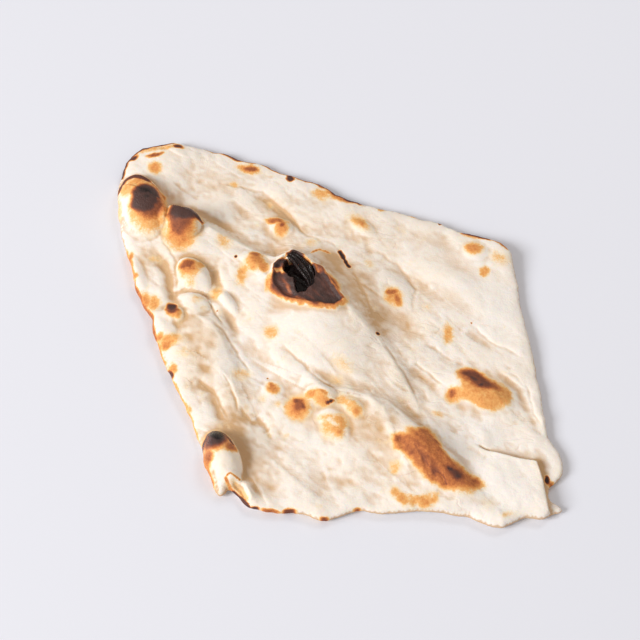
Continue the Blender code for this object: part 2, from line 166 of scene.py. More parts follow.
# Blisters: x, y, half length, half width, turn in degrees, rise, how soft its foot is.
BLISTERS = (
    (-85.6, 57.6, 18.5, 11.5, -72, 8.2, 0.5), (-67, 48.2, 10.8, 9.4, -50, 7.6, 0.55),
    (-60, 20.2, 11, 7.4, -60, 3.8, 0.7), (-60.5, 6.5, 9.5, 7, -15, 2.2, 0.9),
    (-46, 6, 9, 5.2, -52, 2.2, 1), (-44.4, -69, 14.5, 8.6, -72, 8.6, 0.65),
    (-11, 14, 18, 14, -35, 2.0, 1.4), (30, 13, 14, 9, -52, 1.0, 1.2), (-33, 26, 9, 6, -50, 1.8, 1.3),
    (-12.5, -45, 6.5, 5.5, 0, 2.0, 1.2), (-4, -40, 8, 6, -10, 2.2, 1), (2, -54, 10, 7, -60, 1.8, 1.3),
    (10, -46, 6, 4.5, -40, 1.4, 1.3), (42, -69, 25, 11, -44, 1.8, 1.5), (63, -37, 17, 9, -24, 2.4, 1.3),
    (-22, 48, 7, 6, -20, 1.5, 1.3), (15, 47, 8, 5, -30, 1.4, 1.3), (66, 34, 7, 6, 0, 1.2, 1.4),
    (-68, 1, 6, 5, -40, 1.8, 1), (-24, -36, 6, 6, 0, 1.2, 1.4), (-88, 22, 14, 7, -70, 1.8, 1.2),
    (-74, -4, 12, 7, -60, 1.8, 1.2),
)
STEEP_FALL = 1.1  # a crest's steep side is steepest near its top if this is low
CREST_STEP = 2.0  # how closely a crest is followed from far off
STEEP_SIDE = 48.0  # degrees: the side that blisters lean to
LEAN = 0.45
GENTLE_FOOT = 0.9  # how much softer a blister's foot is on its other side

# Creases pressed into the top: points, half width, depth.
CREASES = (
    (((-75, 30), (-71, 22), (-69, 12), (-64, 4)), 3.0, 1.8),
    (((-68, 12), (-60, 13.5), (-50, 10), (-43, 0), (-40, -8)), 1.8, 1.2),
    (((-51, 24), (-48, 15), (-50, 9)), 2.2, 1.4), (((-30, 65), (-21, 58), (-13, 49), (-8, 45)), 2.2, 0.8),
    (((-72, 60), (-61, 58), (-51, 51), (-44, 47)), 2.4, 1.1),
    (((-21, -16), (-12, -23), (-5, -28), (4, -33)), 2.4, 0.9),
    (((-57, -32), (-50, -36), (-45, -50)), 2.4, 0.9), (((-31, -48), (-25, -55)), 2.4, 0.8),
    (((35, -24), (47, -34)), 2.4, 0.5), (((61, -5), (73, -16), (78, -18)), 2.4, 0.5),
    (((75, -29), (81, -35), (84, -43), (90, -56)), 2.4, 0.7),
)

# The burst blister: its lip from above, how far the lip stands up and reaches, and how far the plate
# of skin inside it has sunk.
BURST_LIP = (
    (-24.8, 17.5), (-23.3, 24), (-19.8, 28.9), (-15.4, 31.3), (-11, 28), (-7.5, 23.2), (-3.5, 21.5),
    (1.7, 12.4), (6.8, 4.5), (3, 1), (-3.5, 1.5), (-10.4, 3.2), (-16.5, 5.2), (-20.5, 8), (-24, 13),
)
LIP_RISE = 1.4
LIP_WIDE = 1.6
PLATE_DEPTH = 0.9

# The corner flap stands above a lower strip beside it: its edge, and the height of that step.
FLAP_EDGE = ((60, -60), (66, -63), (79, -67), (86.5, -68.5), (88.5, -77), (89.5, -88), (90.5, -94))
FLAP_STEP = 3.0
FLAP_REACH = 16.0  # how far over the flap that rise fades out
STEP_WIDTH = 0.9
STRIP_REACH = 9.0  # how far the strip sinks beside the step

# A torn lip curled up beside the near left blister.
CURL = ((-42, -78), (-37.5, -77), (-34, -79.5), (-31, -86))
CURL_RISE = 2.0
CURL_WIDE = 2.0
CURL_SLIT = ((-39.5, -78.5), (-36, -80.5), (-33.5, -85))
CURL_DEPTH = 1.8
SLIT_WIDE = 1.1

# Thin creases in the skin: points, half width and depth. Their left side stands a little higher.
CREASE_SHARE = 0.6  # share of these depths that is pressed in
FINE_CREASES = (
    (((16.8, -8), (22.3, -12.6), (27.6, -19.6), (33.6, -30.8), (38.2, -41.5)), 0.9, 0.5),
    (((-75.6, 43.8), (-72.1, 36.3), (-69, 29.9), (-67, 19.5), (-67.4, 12.3)), 0.8, 0.5),
    (((-50, 72.6), (-39.2, 70.2), (-29.9, 67.7), (-24.7, 62.9), (-19.1, 56.6), (-14, 49.5), (-9, 43.1),
      (-1.2, 40.1), (4.2, 37.6)), 0.8, 0.4),
    (((-19.3, -15.2), (-13.4, -22.4), (-4.1, -31.4), (2.4, -36.3)), 0.7, 0.5),
    (((75.4, -25.9), (80.5, -28.1), (84.8, -33.2), (86.4, -39), (87.1, -46.2), (90.4, -52.1)), 0.7, 0.4),
    (((22.7, 34.1), (31, 28.4), (35.6, 21.4), (38.7, 14.9), (37.6, 3.8)), 0.9, 0.35),
    (((62.3, -2.4), (67.6, -7), (73.2, -13.3), (82.8, -18)), 0.9, 0.5),
    (((37.2, -22.4), (42.4, -26), (48.5, -32.9)), 0.7, 0.5),
    (((-56.5, -30.3), (-51.3, -33.7), (-46.9, -39.2), (-43.2, -47.5)), 0.8, 0.5),
    (((-45.4, -28), (-41.9, -33.2), (-39.2, -39.5), (-38.2, -45.6)), 0.7, 0.6),
    (((-49.6, -4.3), (-45.2, -7.8), (-41.6, -13.2), (-38.9, -19.4), (-33.6, -26.7)), 0.7, 0.5),
    (((-31, -46.4), (-27.1, -50.8), (-23.6, -58.7)), 0.9, 0.4),
    (((10, 25), (13.4, 17.6), (16.8, 8.9), (19.7, -1.1)), 0.8, 0.22),
    (((-69, 13.6), (-63.3, 14.2), (-58.7, 13.2), (-54.3, 11.8), (-50.8, 11.1)), 0.7, 0.8),
    (((-53.9, 11.9), (-51.8, 5.7), (-49, 0.7), (-46.2, -3.3)), 0.7, 0.7),
    (((43, -13.2), (48.5, -16.4), (53.5, -20.9)), 0.8, 0.4),
    (((-54, 38.8), (-47.4, 32.6), (-40.9, 26.7)), 0.9, 0.3),
    (((37.9, -68.6), (40.3, -72.3), (43.9, -75), (46.9, -77.6), (48.7, -81.1)), 0.5, 0.7),
    (((63.2, -60.9), (65.5, -61.8), (67.6, -62.6)), 0.6, 1.2),
    (((5.3, 34.9), (7.1, 31.9), (8.2, 29.9), (9.7, 27.4)), 0.6, 1.1),
    (((-69, -22.8), (-68, -25.7), (-66, -29.6)), 0.7, 1.2),
)

# The hole torn in the burst blister, seen from above.
HOLE = (
    (-17.7, 27.5), (-15.9, 29.6), (-13.7, 29.9), (-11, 27.8), (-9.3, 25.7), (-7.5, 23.3), (-5.7, 19.9),
    (-5.7, 16.5), (-5.9, 13.5), (-7.4, 10.9), (-10.5, 8.6), (-13.1, 8.3), (-14.4, 9.9), (-15.3, 13.5),
    (-14.5, 16.3), (-17.6, 17.1), (-19.2, 19.1), (-20.1, 21.5), (-19.7, 24.9),
)
HOLE_DEPTH = 4.6
HOLE_SIDE = 1.1  # width of its steep side
HOLE_LIP = 0.35

# The hood of folded skin over the hole: its rooted side and its free side, seen from above.
HOOD_OUTER = (
    (-16.1, 30.6), (-13.5, 30.2), (-11, 28.1), (-9, 25), (-7.6, 22.4), (-5.9, 18.7), (-5.3, 15.3),
    (-5.7, 12.2), (-7.2, 9.4),
)
HOOD_INNER = (
    (-18.5, 27.8), (-16.8, 25.8), (-15.4, 23.2), (-14.1, 20.6), (-12.5, 18.1), (-10.7, 15.6),
    (-9.5, 13.6), (-8.7, 11.7), (-8.2, 9.9),
)
HOOD_THICK = 0.5
HOOD_FOLDS = 3
HOOD_ROOT = 0.3  # how deep it is let into the skin
HOOD_FOLD = 0.55  # height of its folds
HOOD_ARCH = 1.0  # how far its free side stands up
HOOD_TONE = 1.17  # how dark it is baked, as in the tables below

# Ripples: height, length and seed of each.
RIPPLE_GRID = 61
UNDER_RIPPLES = ((1.3, 34, 5), (0.7, 17, 8))
TOP_RIPPLE = (0.5, 11, 3)
SKIN_RIPPLES = ((0.17, 7, 41), (0.11, 3.4, 42), (0.06, 1.7, 43))
SKIN_STEPS = ((0.22, 14, 44), (0.14, 8, 45))
# Parts with calmer skin: x, y, half length, half width, turn in degrees.
SMOOTH_PARTS = ((58, 22, 48, 26, -38), (-8, -8, 30, 17, -38))
BUBBLES = 200  # how many are tried
BUBBLE_SIZE = (1.1, 3.4)
BUBBLE_RISE = (0.03, 0.09)  # as a share of the size

# ---- how dark the crust is baked: 0 pale, 0.5 orange-brown, 0.8 dark brown, 1 charred ----
# Spots: x, y, half length, half width, turn in degrees, how dark, how soft their edge is.
SPOTS = (
    # far left corner
    (-91.3, 87.1, 2.8, 1.4, 40, 0.93, 0.7), (-80.7, 88.2, 3.8, 1.4, 17, 0.68, 0.8),
    (-83.1, 92, 6.7, 1.4, 14, 0.3, 1), (-70.2, 93.2, 2.5, 1.4, -18, 0.95, 0.7),
    (-80.8, 80.4, 3.4, 3, -71, 0.45, 1), (-76.1, 93, 3.6, 1.5, 5, 0.34, 1),
    # first blister
    (-83.1, 59, 8.2, 6.7, -86, 1.0, 0.35), (-83.3, 62.3, 4.5, 3.1, 0, 1.12, 0.8),
    (-80.6, 55.9, 8, 7.1, -85, 0.74, 0.7), (-80.6, 52.4, 8.8, 7.6, -90, 0.39, 0.8),
    (-87.3, 54, 6.2, 3.6, -90, 0.34, 1), (-91.2, 65.1, 4.6, 3.6, -90, 0.36, 0.9),
    (-87.3, 68.4, 4.5, 2.6, 15, 0.42, 0.9), (-77.5, 65.1, 4, 1.9, -61, 0.5, 0.9),
    (-95.7, 57.3, 5.1, 1.3, -90, 0.22, 1),
    # second blister
    (-65.9, 50.3, 7.4, 5.4, -6, 1.0, 0.5), (-59, 48.9, 3, 2, -37, 0.98, 0.5),
    (-66.1, 45.4, 6, 5.9, 0, 0.76, 0.8), (-66.3, 41.3, 6.9, 6.4, 0, 0.47, 0.9),
    (-62.4, 42.9, 4.1, 3.1, -90, 0.46, 0.9), (-71.4, 43.5, 4.6, 2.7, -90, 0.3, 1),
    (-74.1, 43.5, 4.1, 1.3, 82, 0.24, 1),
    # third blister
    (-62.8, 25.4, 3.8, 2.7, 14, 0.7, 0.7), (-61.6, 23.5, 4.7, 4.6, 0, 0.46, 0.8),
    (-60.9, 18.3, 3.6, 2.7, -90, 0.24, 1), (-57, 25.6, 2.3, 1.5, -39, 0.42, 0.9),
    # small ones beside it
    (-57.5, 7.7, 2.5, 2.2, -43, 0.22, 1), (-49.2, 11.7, 2.9, 2.8, 0, 0.3, 1),
    (-54.7, 2.9, 1.8, 1.5, 0, 0.12, 1),
    # near left blister
    (-46.6, -61.1, 5.1, 4.8, 0, 1.05, 0.8), (-46.5, -59.9, 4.5, 3.8, 0, 1.18, 0.8),
    (-49.7, -68.1, 3.6, 2.2, -90, 0.6, 1), (-40.5, -64.9, 2.4, 2.2, -77, 0.66, 1),
    (-45.9, -64.9, 5.4, 2.6, 0, 0.42, 1.2), (-50.2, -71.6, 4.6, 1.3, -80, 0.22, 1.2),
    # left edge
    (-88.7, 31.3, 2.8, 1.2, -90, 0.5, 0.9), (-86, 21.8, 1.5, 1.5, -90, 0.45, 0.9),
    (-77.6, 30.4, 2.7, 1.7, -14, 0.22, 1), (-81, 9.3, 4.1, 2.3, -75, 0.45, 0.9),
    (-76.8, 8, 3.6, 2.9, -90, 0.4, 1), (-79.2, 1.8, 3.6, 1.8, -78, 0.42, 0.9),
    (-67.1, 1.5, 4.1, 2.6, -55, 0.46, 0.8), (-68.1, 3.1, 3.4, 2.2, -52, 0.84, 0.7),
    (-68.7, 4.6, 2.9, 1.9, -51, 1.0, 0.6), (-73.1, -9.7, 1.8, 1.6, -90, 0.5, 0.8),
    (-69, -11.9, 5.1, 2.6, 7, 0.38, 0.9), (-70.3, -13.7, 2.2, 2.1, 0, 0.5, 0.8),
    (-61.9, -18.3, 4.1, 2.5, -20, 0.16, 1), (-67, -25.2, 2.3, 2, -90, 0.42, 0.9),
    (-58.6, -44.1, 1.6, 1.1, -90, 0.34, 0.9),
    # far side
    (-37, 81.3, 5.6, 2.4, -15, 0.42, 0.9), (-35.8, 81.4, 4, 1.3, -14, 0.68, 0.8),
    (-43.2, 72.2, 2.2, 1.5, -14, 0.3, 1), (-17.7, 75.7, 2.2, 1.6, -12, 1.0, 0.5),
    (-3, 67.1, 4.5, 2.8, -16, 0.36, 1), (6.2, 64.9, 5.4, 2.3, -22, 0.5, 0.9),
    (1.6, 67.8, 2.7, 1.5, -13, 0.42, 0.9), (14.7, 49.6, 6, 2.9, -51, 0.34, 1),
    (15.2, 49, 2.4, 1.4, -49, 0.48, 0.9), (-24, 51.1, 4.3, 1.8, -12, 0.62, 0.8),
    (-20.8, 47.3, 4.3, 3.2, 76, 0.45, 0.8), (-20.3, 48.5, 2.1, 1.3, -90, 0.66, 0.8),
    (-26.6, 61.2, 2.1, 1.8, -90, 0.22, 1), (-6.9, 39.2, 3.1, 2.7, -90, 0.2, 1),
    (24.6, 58.1, 1.5, 1, -20, 0.4, 0.9), (39.5, 54.5, 2.1, 1, -12, 0.36, 0.9),
    (51.5, 50.8, 0.7, 0.7, -90, 1.05, 0.5), (65.2, 44.1, 4.5, 2, -19, 0.36, 0.9),
    (65.7, 35.7, 3.8, 3.4, -19, 0.46, 0.9), (69.8, 23.8, 2.5, 2.2, 83, 0.4, 0.9),
    (77.2, 30.4, 4.1, 3.3, -32, 0.24, 1.1), (18.7, 27.5, 2.4, 2.1, -90, 0.2, 1),
    # slope left of the long crest
    (-32.7, 30, 2.6, 2.3, -47, 0.62, 0.9), (-31.9, 26.4, 4.7, 4.2, -79, 0.46, 0.9),
    (-28.8, 23.2, 2.8, 2.4, -90, 0.47, 0.9), (-38.2, 20.9, 5.1, 2.5, 77, 0.36, 1),
    (-46.8, 38.6, 4.2, 3.4, -48, 0.26, 1.1), (-26.4, 14.4, 3.1, 1.3, 84, 0.42, 0.9),
    (-24.7, -8.9, 3.2, 3.1, -90, 0.3, 1.1), (6.3, -25.1, 5, 2.9, -43, 0.2, 1.1),
    (3.9, -32.3, 3.2, 2.5, -31, 0.18, 1.1), (-37.1, -28, 4, 2.9, -14, 0.22, 1.1),
    (-25.1, -56.2, 1.5, 1.5, -90, 0.14, 1), (-17.4, -56.7, 1.4, 1.2, 0, 0.16, 1),
    # middle, near the tawny group
    (-23.7, -35, 3.1, 2.6, -56, 0.46, 0.8), (-24, -33.4, 1.6, 1.3, -35, 0.58, 1),
    (-20.9, -42.1, 1.6, 1.6, -90, 0.22, 1.2), (-27.7, -39.1, 2, 1.4, 0, 0.16, 1.2),
    (-12.6, -44.3, 5.4, 4.9, 85, 0.48, 0.8), (-12.6, -43.6, 3.9, 3.3, 66, 0.7, 0.8),
    (-13.7, -41.4, 1.9, 1.6, 57, 0.82, 0.9), (-10.7, -44.1, 1.9, 1.3, -90, 0.8, 0.9),
    (-6.9, -39.5, 2.9, 2.4, -17, 0.46, 1), (-3.1, -41.6, 4, 2.8, -17, 0.4, 1.1),
    (0.5, -42.8, 1.8, 0.7, 5, 1.0, 0.5), (6.2, -42.3, 4.1, 2.5, -21, 0.3, 1.2),
    (9.9, -45.6, 4.4, 2.6, -58, 0.32, 1.1), (12, -47.9, 2.6, 2.2, 90, 0.44, 1.1),
    (-0.6, -50, 4, 1.3, -5, 0.3, 1.1), (4.9, -51.5, 3.3, 2.4, -43, 0.36, 1),
    (3.2, -56.1, 3.5, 3.2, -60, 0.36, 1), (-0.6, -54.1, 4.1, 2.7, -90, 0.3, 1.1),
    (4, -56.3, 1.9, 1.8, -90, 0.46, 1.1), (6.1, -53.2, 2.1, 1.8, -90, 0.4, 1.1),
    # right of the long crest
    (28.8, 10.8, 4.7, 3.7, -69, 0.4, 0.9), (28.2, 12.8, 2.9, 1.8, 13, 0.64, 0.8),
    (30.5, 8.9, 3.2, 1.7, -62, 0.54, 0.9), (52.4, -7.5, 4.6, 2.5, 87, 0.36, 1),
    (43.5, 6, 2.1, 2, -90, 0.14, 1.1), (46.1, -47.1, 2.2, 1.8, 0, 0.22, 1),
    (27, -71.8, 2.2, 2.1, 0, 0.28, 1),
    # corner flap and near rim
    (27.6, -82.8, 2.5, 2.1, -35, 0.36, 0.9), (30.4, -85.3, 3.2, 2.2, -33, 0.4, 0.8),
    (34.9, -86.1, 3.3, 2.6, 0, 0.36, 1), (39.4, -86.4, 3.2, 3.1, 39, 0.42, 0.8),
    (42.7, -85.8, 2.3, 2, 40, 0.34, 1), (64.7, -87.5, 3, 2.7, -49, 0.1, 1.3),
    (73.3, -92.1, 4.2, 1.5, 5, 0.12, 1.2), (90.5, -76.4, 1.6, 1, 83, 1.08, 0.5),
    (91.8, -78, 1.2, 1.1, 0, 0.6, 0.9),
    # inside the large tawny patch
    (29, -60.6, 2.8, 2.3, -36, 0.7, 1.1), (36.6, -58.9, 4.1, 2.5, -26, 0.6, 1.2),
    (37.7, -64.2, 5.8, 3.3, -54, 0.63, 1.1), (42.4, -70.4, 7.3, 2.6, -53, 0.66, 1.1),
    (44.5, -74.3, 4.4, 1.9, -52, 0.66, 1), (51.8, -75.8, 8, 4.7, -40, 0.74, 1),
    (52.2, -76, 4.4, 3.1, -41, 0.9, 1), (49.8, -74.1, 1.8, 1.3, -28, 1.0, 0.9),
    (53, -77.2, 1.8, 1.2, -14, 0.98, 0.9), (59.8, -78, 4.1, 2.7, -32, 0.62, 1.1),
    (33.2, -65.6, 5.3, 2.8, -52, 0.66, 1.1), (39.2, -69.7, 5, 2.3, -65, 0.74, 1.1),
    (43.3, -73.9, 4.4, 2.2, -53, 0.76, 1.1),
    # inside the right tawny patch
    (53, -37.7, 2.4, 2.1, 63, 0.66, 1), (52.8, -37.3, 1.1, 1, 0, 0.76, 1),
    (60.8, -28, 4.9, 3.3, -11, 0.82, 0.8), (63.5, -31.1, 7, 4.2, -40, 0.8, 0.8),
    (66.3, -33, 6.3, 3.6, -37, 0.84, 1), (70.5, -34.4, 4.6, 3, -36, 0.66, 1.2),
    (61.8, -30.5, 2.7, 2, -29, 0.94, 1), (58.8, -30.3, 4.2, 2.9, -41, 0.6, 1),
    (64.5, -34.2, 1.5, 1.3, 0, 1.0, 1), (62.6, -37.3, 3.6, 1.7, -24, 0.46, 1.2),
)
# Lines: points, half width, how dark.
LINES = (
    # gashes and scorch lines
    (((-7.3, 31.9), (-5.5, 33.5), (-3.5, 34.2), (-1.3, 33.7), (0.5, 32.8)), 0.52, 0.5),
    (((5.4, 34), (6.4, 32.5), (7.1, 31)), 0.89, 1.06),
    (((7.1, 31), (8.2, 28.7)), 0.52, 1.04),
    (((8.2, 28.7), (9.6, 25.5)), 0.8, 1.06),
    (((-7.7, -39.1), (-6, -38.2), (-3.5, -38.4), (-0.6, -39.9)), 0.56, 0.44),
    (((38, -67.4), (39.2, -70.4), (41.6, -72.9), (44.5, -74.5), (46.9, -76.7), (48.5, -79.7)),
      0.21, 0.78),
    (((35.2, -63.5), (37.2, -66.5), (39.2, -70.4)), 0.28, 0.7),
    (((43.9, -85.6), (44.8, -83.5)), 0.75, 0.26),
    # round the near left blister
    (((-52.8, -68.5), (-52.8, -63.8), (-51.7, -60.8), (-49.9, -57.8), (-48.2, -56.4), (-46.1, -56.1),
      (-43.9, -57.5), (-41.9, -59.7), (-39.7, -62.6)), 0.61, 0.9),
    # its torn lip
    (((-39.2, -81.5), (-37.8, -82.4), (-35.7, -84.4), (-33.9, -86.8), (-32.1, -88.8), (-29.2, -88.9)),
      0.52, 0.92),
    (((-42.2, -77.5), (-41.3, -79.2), (-39.8, -80.8), (-38.8, -81.6)), 0.56, 0.5),
    (((-41.8, -76.6), (-40.4, -75.9), (-38.6, -76.8), (-36.4, -77.8)), 0.33, 0.55),
    (((-39.3, -78.8), (-36.3, -81.5), (-33.8, -85)), 1.22, 0.2),
    (((-27.1, -90.1), (-23, -91.3), (-19.8, -91.8)), 0.33, 0.6),
    # round the first blister
    (((-96.2, 66.7), (-94.6, 69.5), (-92, 71.4), (-89.2, 72.1), (-86, 71.3), (-82.2, 69.7)), 1.22, 0.9),
    (((-82.2, 69.7), (-78.8, 67.2), (-76.8, 64.4)), 0.56, 0.5),
)
# Patches: points around them, how dark, width of their soft edge.
PATCHES = (
    # large tawny patch
    (((26.8, -61.1), (28.4, -59), (30.9, -58.5), (34.6, -58.4), (37.2, -55.6), (40, -53.9), (42.5, -55.5),
      (44.9, -58.3), (46.6, -63.4), (48.9, -67), (52.2, -69.5), (55.6, -71.9), (58.4, -74.2),
      (61.2, -76.8), (62.2, -80.1), (60, -81.7), (51.7, -82.2), (45.6, -80.4), (42.4, -78.8),
      (39.6, -77.1), (37.6, -73.9), (34.8, -70.8), (32, -67.7), (29.5, -65.5), (27.1, -63.5)), 0.59, 4.4),
    # right tawny patch
    (((55.6, -28.3), (58.4, -25.5), (63.3, -24.5), (66.6, -26.8), (69, -29.4), (72.2, -31.9),
      (76.4, -34.1), (78.3, -36.6), (78.5, -39.6), (76.1, -42.9), (73.8, -44.7), (70.4, -45.6),
      (66.2, -45.2), (62.1, -43.3), (58.8, -41.2), (55.9, -40.2), (53.7, -41.7), (50.8, -41.6),
      (49.6, -39.3), (50.1, -36.6), (52.7, -34.7), (56.4, -34.9), (56.1, -31.9)), 0.38, 3.4),
)
# The burst blister's scorched skin and the orange fringe below it.
SCORCH = (
    (-15.4, 31.8), (-18.5, 29.9), (-20, 27.8), (-23.2, 24.8), (-24.8, 21.3), (-24.9, 18.3),
    (-24.2, 13.5), (-21.6, 9.9), (-19.5, 7.2), (-16, 6.3), (-13.4, 5.7), (-10.3, 4.2), (-5.7, 2.4),
    (-0.6, 1.9), (3.2, 2.4), (5.7, 4), (6.5, 5.7), (4.7, 7.8), (1.9, 12.9), (-0.6, 17.7), (-2.1, 20.8),
    (-3.7, 22.9), (-6.8, 22.6), (-7.8, 23.2), (-8.9, 25.9), (-11, 28.8), (-13.1, 30.9),
)
FRINGE = (
    (-25.3, 18.6), (-25.3, 14), (-22.3, 9.6), (-17.2, 5.7), (-13.5, 4.6), (-10.8, 3.3), (-3.2, 1.1),
    (3.2, 1), (7, 3.6), (8, 6),
)
FRINGE_WIDTH = 1.9
FRINGE_TONE = 0.40
FRINGE_INNER = 0.52  # how much darker it is beside the scorched skin
FRINGE_FADE = 0.9

# Thin edges and flakes that stay lighter than what is round them, and one copper streak that is partly a
# painted highlight: points, half width, tone.
EDGES = (
    (((-25.3, 19.9), (-24.6, 23.6), (-22.8, 26.9), (-20.1, 29.8), (-17.7, 31.7)), 0.7, 0.0),
    (((-19.2, 28.4), (-18, 27.6), (-16.6, 26.3)), 1.0, 0.02),
    (((-23.5, 20.2), (-22, 21), (-20.7, 21.6)), 0.9, 0.3),
    (((-20.8, 21.8), (-20.1, 20.5), (-19.7, 19.1)), 0.9, 0.3),
    (((-19.9, 16.3), (-18.1, 13.9), (-16.5, 10.9)), 0.7, 0.76),
    (((-18.4, 12.6), (-17.1, 10.1), (-16.2, 8.5)), 0.6, 0.66),
    # a copper streak, partly the skin's own colour and partly a painted highlight
    (((-6, 22.8), (-4.6, 20.9), (-3.2, 18.8)), 0.9, 0.5),
    (((-4.7, 23), (-3.3, 21.3), (-2.1, 19.3)), 1.1, 0.72),
    (((-1.6, 19.6), (1.8, 13.1), (5.5, 7)), 0.6, 0.5),
    (((-4.8, 15.7), (-2.2, 11.6), (0.9, 6.5)), 0.5, 0.92),
    (((-3.1, 16.2), (-0.4, 11.6), (2.6, 6.5)), 0.5, 0.92),
    (((-6.6, 9.6), (-3.9, 7.5), (-1.8, 4.5)), 0.5, 0.9), (((-10, 8), (-7.9, 6.2), (-6.1, 4.2)), 0.5, 0.9),
)

# Brown places inside the burst and one painted highlight: x, y, half length, half width, turn in degrees,
# tone.
PLATES = (
    (-20.8, 14.2, 5.7, 3.6, -90, 0.92), (-18.3, 8, 3.2, 2, -26, 0.84), (-8.3, 8.8, 4.9, 3.1, -13, 0.97),
    (-0.6, 11.6, 7, 5.5, -69, 1), (-21.6, 24, 3.4, 2.1, 50, 1.04), (-17.6, 20.9, 3.6, 3.1, -90, 1),
    # the small lighter spot at (-16, 18) is a painted highlight in the hole
    (-16, 18, 1, 0.7, -15, 0.55), (-19.4, 23, 1.9, 1.4, -55, 0.82),
)

# Soft tan tints: x, y, half length, half width, turn in degrees, strength. In the shaded hollows they
# are painted shade over the crust's own tan.
WASHES = (
    # shaded hollows: painted shade over a real tan
    (-40.3, 41, 15.8, 3.5, -34, 0.3), (14, 12.6, 16.9, 6.5, -63, 0.62), (1.8, 29.8, 8.2, 4, -25, 0.7),
    (11.2, -1.6, 8.2, 6.3, 80, 0.2), (35.5, -2.6, 11, 5.5, -66, 0.3), (20.8, -1.1, 5.8, 3.3, -52, 0.42),
    (28.3, -11, 4.7, 3.9, -50, -0.2), (14.1, 17.3, 5.8, 4.7, -61, 0.2), (-71, 62.9, 7.2, 3.1, -82, 0.35),
    (-48.8, 16.2, 7.7, 3.1, -82, 0.28), (-71.7, 16.8, 8.1, 3.2, -73, 0.28),
    (-59.9, -1.1, 6.8, 4.5, -27, 0.42), (-55.5, -21.3, 17.3, 5, -73, 0.44),
    (-49.5, -10.6, 6.2, 4, -90, 0.8), (-40.7, -44.2, 12.3, 5.4, -82, 0.55),
    (-26.6, -18.9, 6.6, 3.4, -41, 0.12), (-60.1, -31.9, 5.1, 4.1, -78, 0.3),
    (-79.1, 30.3, 11.6, 6.2, -5, 0.44), (-61.2, 29.3, 7.1, 5.1, -6, 0.22),
    (-45.8, 72.9, 7.2, 4.1, -13, 0.2), (-24, 61.7, 8.1, 4.1, -17, 0.28), (-20.7, 54, 5.9, 4.6, -22, 0.62),
    (-41.2, -54.9, 9.3, 6.7, -90, 0.5), (-32.3, -64.9, 12.2, 5, -72, 0.5),
    (31.2, -31, 15, 3.7, -64, 0.28), (30, -11.5, 12.1, 3.5, -34, 0.1), (7, -38.6, 12, 2.5, -30, 0.14),
    (21.4, -52.6, 15.8, 12.9, -40, 0.5), (88.3, -73.4, 7.7, 2.7, -83, 0.6),
    (-51, -39.5, 10.2, 4.5, -79, 0.12), (-35.9, -80.5, 5.1, 4.5, -90, 0.3),
    (-24.1, -62.6, 17.5, 6.2, -90, 0.22), (-39.1, -69.4, 7.1, 2.3, -77, 0.22),
    # warmer parts, some of them painted shade that tones down brightly lit places
    (-17.1, 54.6, 36, 13.3, -17, 0.21), (-58.7, 74.1, 17.9, 9.2, -10, 0.14),
    (45.2, 24, 27.4, 20.1, -29, 0.14), (41.6, 49.1, 27.1, 6.1, -19, 0.12),
    (-63.7, -10.6, 30.3, 11.8, -70, 0.12), (8.7, -76.1, 17.9, 8.2, -5, 0.1),
    (62.7, -85.8, 8.1, 3.1, -12, 0.18), (43.8, -31.9, 5.4, 5.1, 0, 0.16),
    (-45.9, -74.3, 7.2, 4, -90, 0.3), (73.9, -10.6, 30.8, 8, -83, 0.08),
    # floury parts
    (73.6, -80.5, 12.6, 9.2, -15, -0.4), (71.1, -55.8, 10.3, 7.8, -44, -0.24),
    (74.9, 4.5, 18.5, 8.1, -82, -0.3), (-26, -29.1, 6.2, 5.4, -90, -0.3),
    (54.8, -65.4, 10.8, 5.6, -57, -0.3), (60.7, -48.9, 10, 4, -24, -0.2),
    (-5.2, -58.1, 5.1, 4.5, -90, -0.25), (-24.5, 11.6, 5.4, 5.1, 0, -0.3),
)
# Glossy charred caps: x, y, half length, half width, turn in degrees, share.
GLOSSY = ((-45.7, -61.5, 9, 7, 6, 1.0), (-82, 60, 9, 8, 0, 0.6), (-66, 51, 8, 5, 0, 0.5))
# Black specks: x, y, size.
SPECKS = ((-41.2, 30.2, 0.65), (21.6, -9.2, 0.85), (62.9, -2.0, 0.3), (-48.6, 2.5, 0.3), (-26, -29.5, 0.3))

# Scorched stretches of the rim: shares of the outline where each starts and ends, width, tone.
BURN_FADE = 0.004  # the share of the outline over which each fades out
RIM_BURNS = (
    (-0.01, 0.058, 1.4, 0.98), (0.08, 0.152, 0.9, 0.74), (0.093, 0.109, 1.4, 0.85),
    (0.152, 0.204, 1.1, 0.76),
    (0.179, 0.204, 1.4, 0.95), (0.278, 0.299, 1.7, 0.92), (0.299, 0.314, 1.2, 0.6),
    (0.645, 0.649, 0.9, 0.7),
    (0.666, 0.671, 1.1, 0.8), (0.687, 0.695, 1.2, 0.85), (0.697, 0.709, 0.8, 0.6), (0.783, 0.83, 0.8, 0.35),
    (0.831, 0.838, 0.9, 0.9), (0.748, 0.772, 0.7, 0.5), (0.842, 0.862, 0.8, 0.42),
    (0.862, 0.913, 0.9, 0.6), (0.914, 0.939, 1, 0.42),
)

# ---- colours, linear RGB ----
FLOOR_TONE = (0.80, 0.83, 0.93)
ROOM_TONE = (1.0, 0.92, 0.83)
PALE = (0.93, 0.885, 0.845)
CREAM = (0.915, 0.817, 0.707)
# tan: the underside's own colour, also used as painted shade in hollows, creases and shaded tints
TAN = (0.655, 0.428, 0.238)
TONES = (
    (0.08, (0.94, 0.77, 0.50)),
    (0.20, (0.92, 0.62, 0.30)),
    (0.34, (0.86, 0.44, 0.145)),
    (0.46, (0.73, 0.29, 0.085)),
    (0.58, (0.53, 0.175, 0.056)),
    (0.70, (0.33, 0.10, 0.040)),
    (0.82, (0.19, 0.060, 0.034)),
    (0.94, (0.10, 0.044, 0.036)),
    (1.06, (0.058, 0.032, 0.029)),
    (1.18, (0.013, 0.008, 0.008)),
)
TONE_TOP = 1.25  # the darkest value that the ramp holds

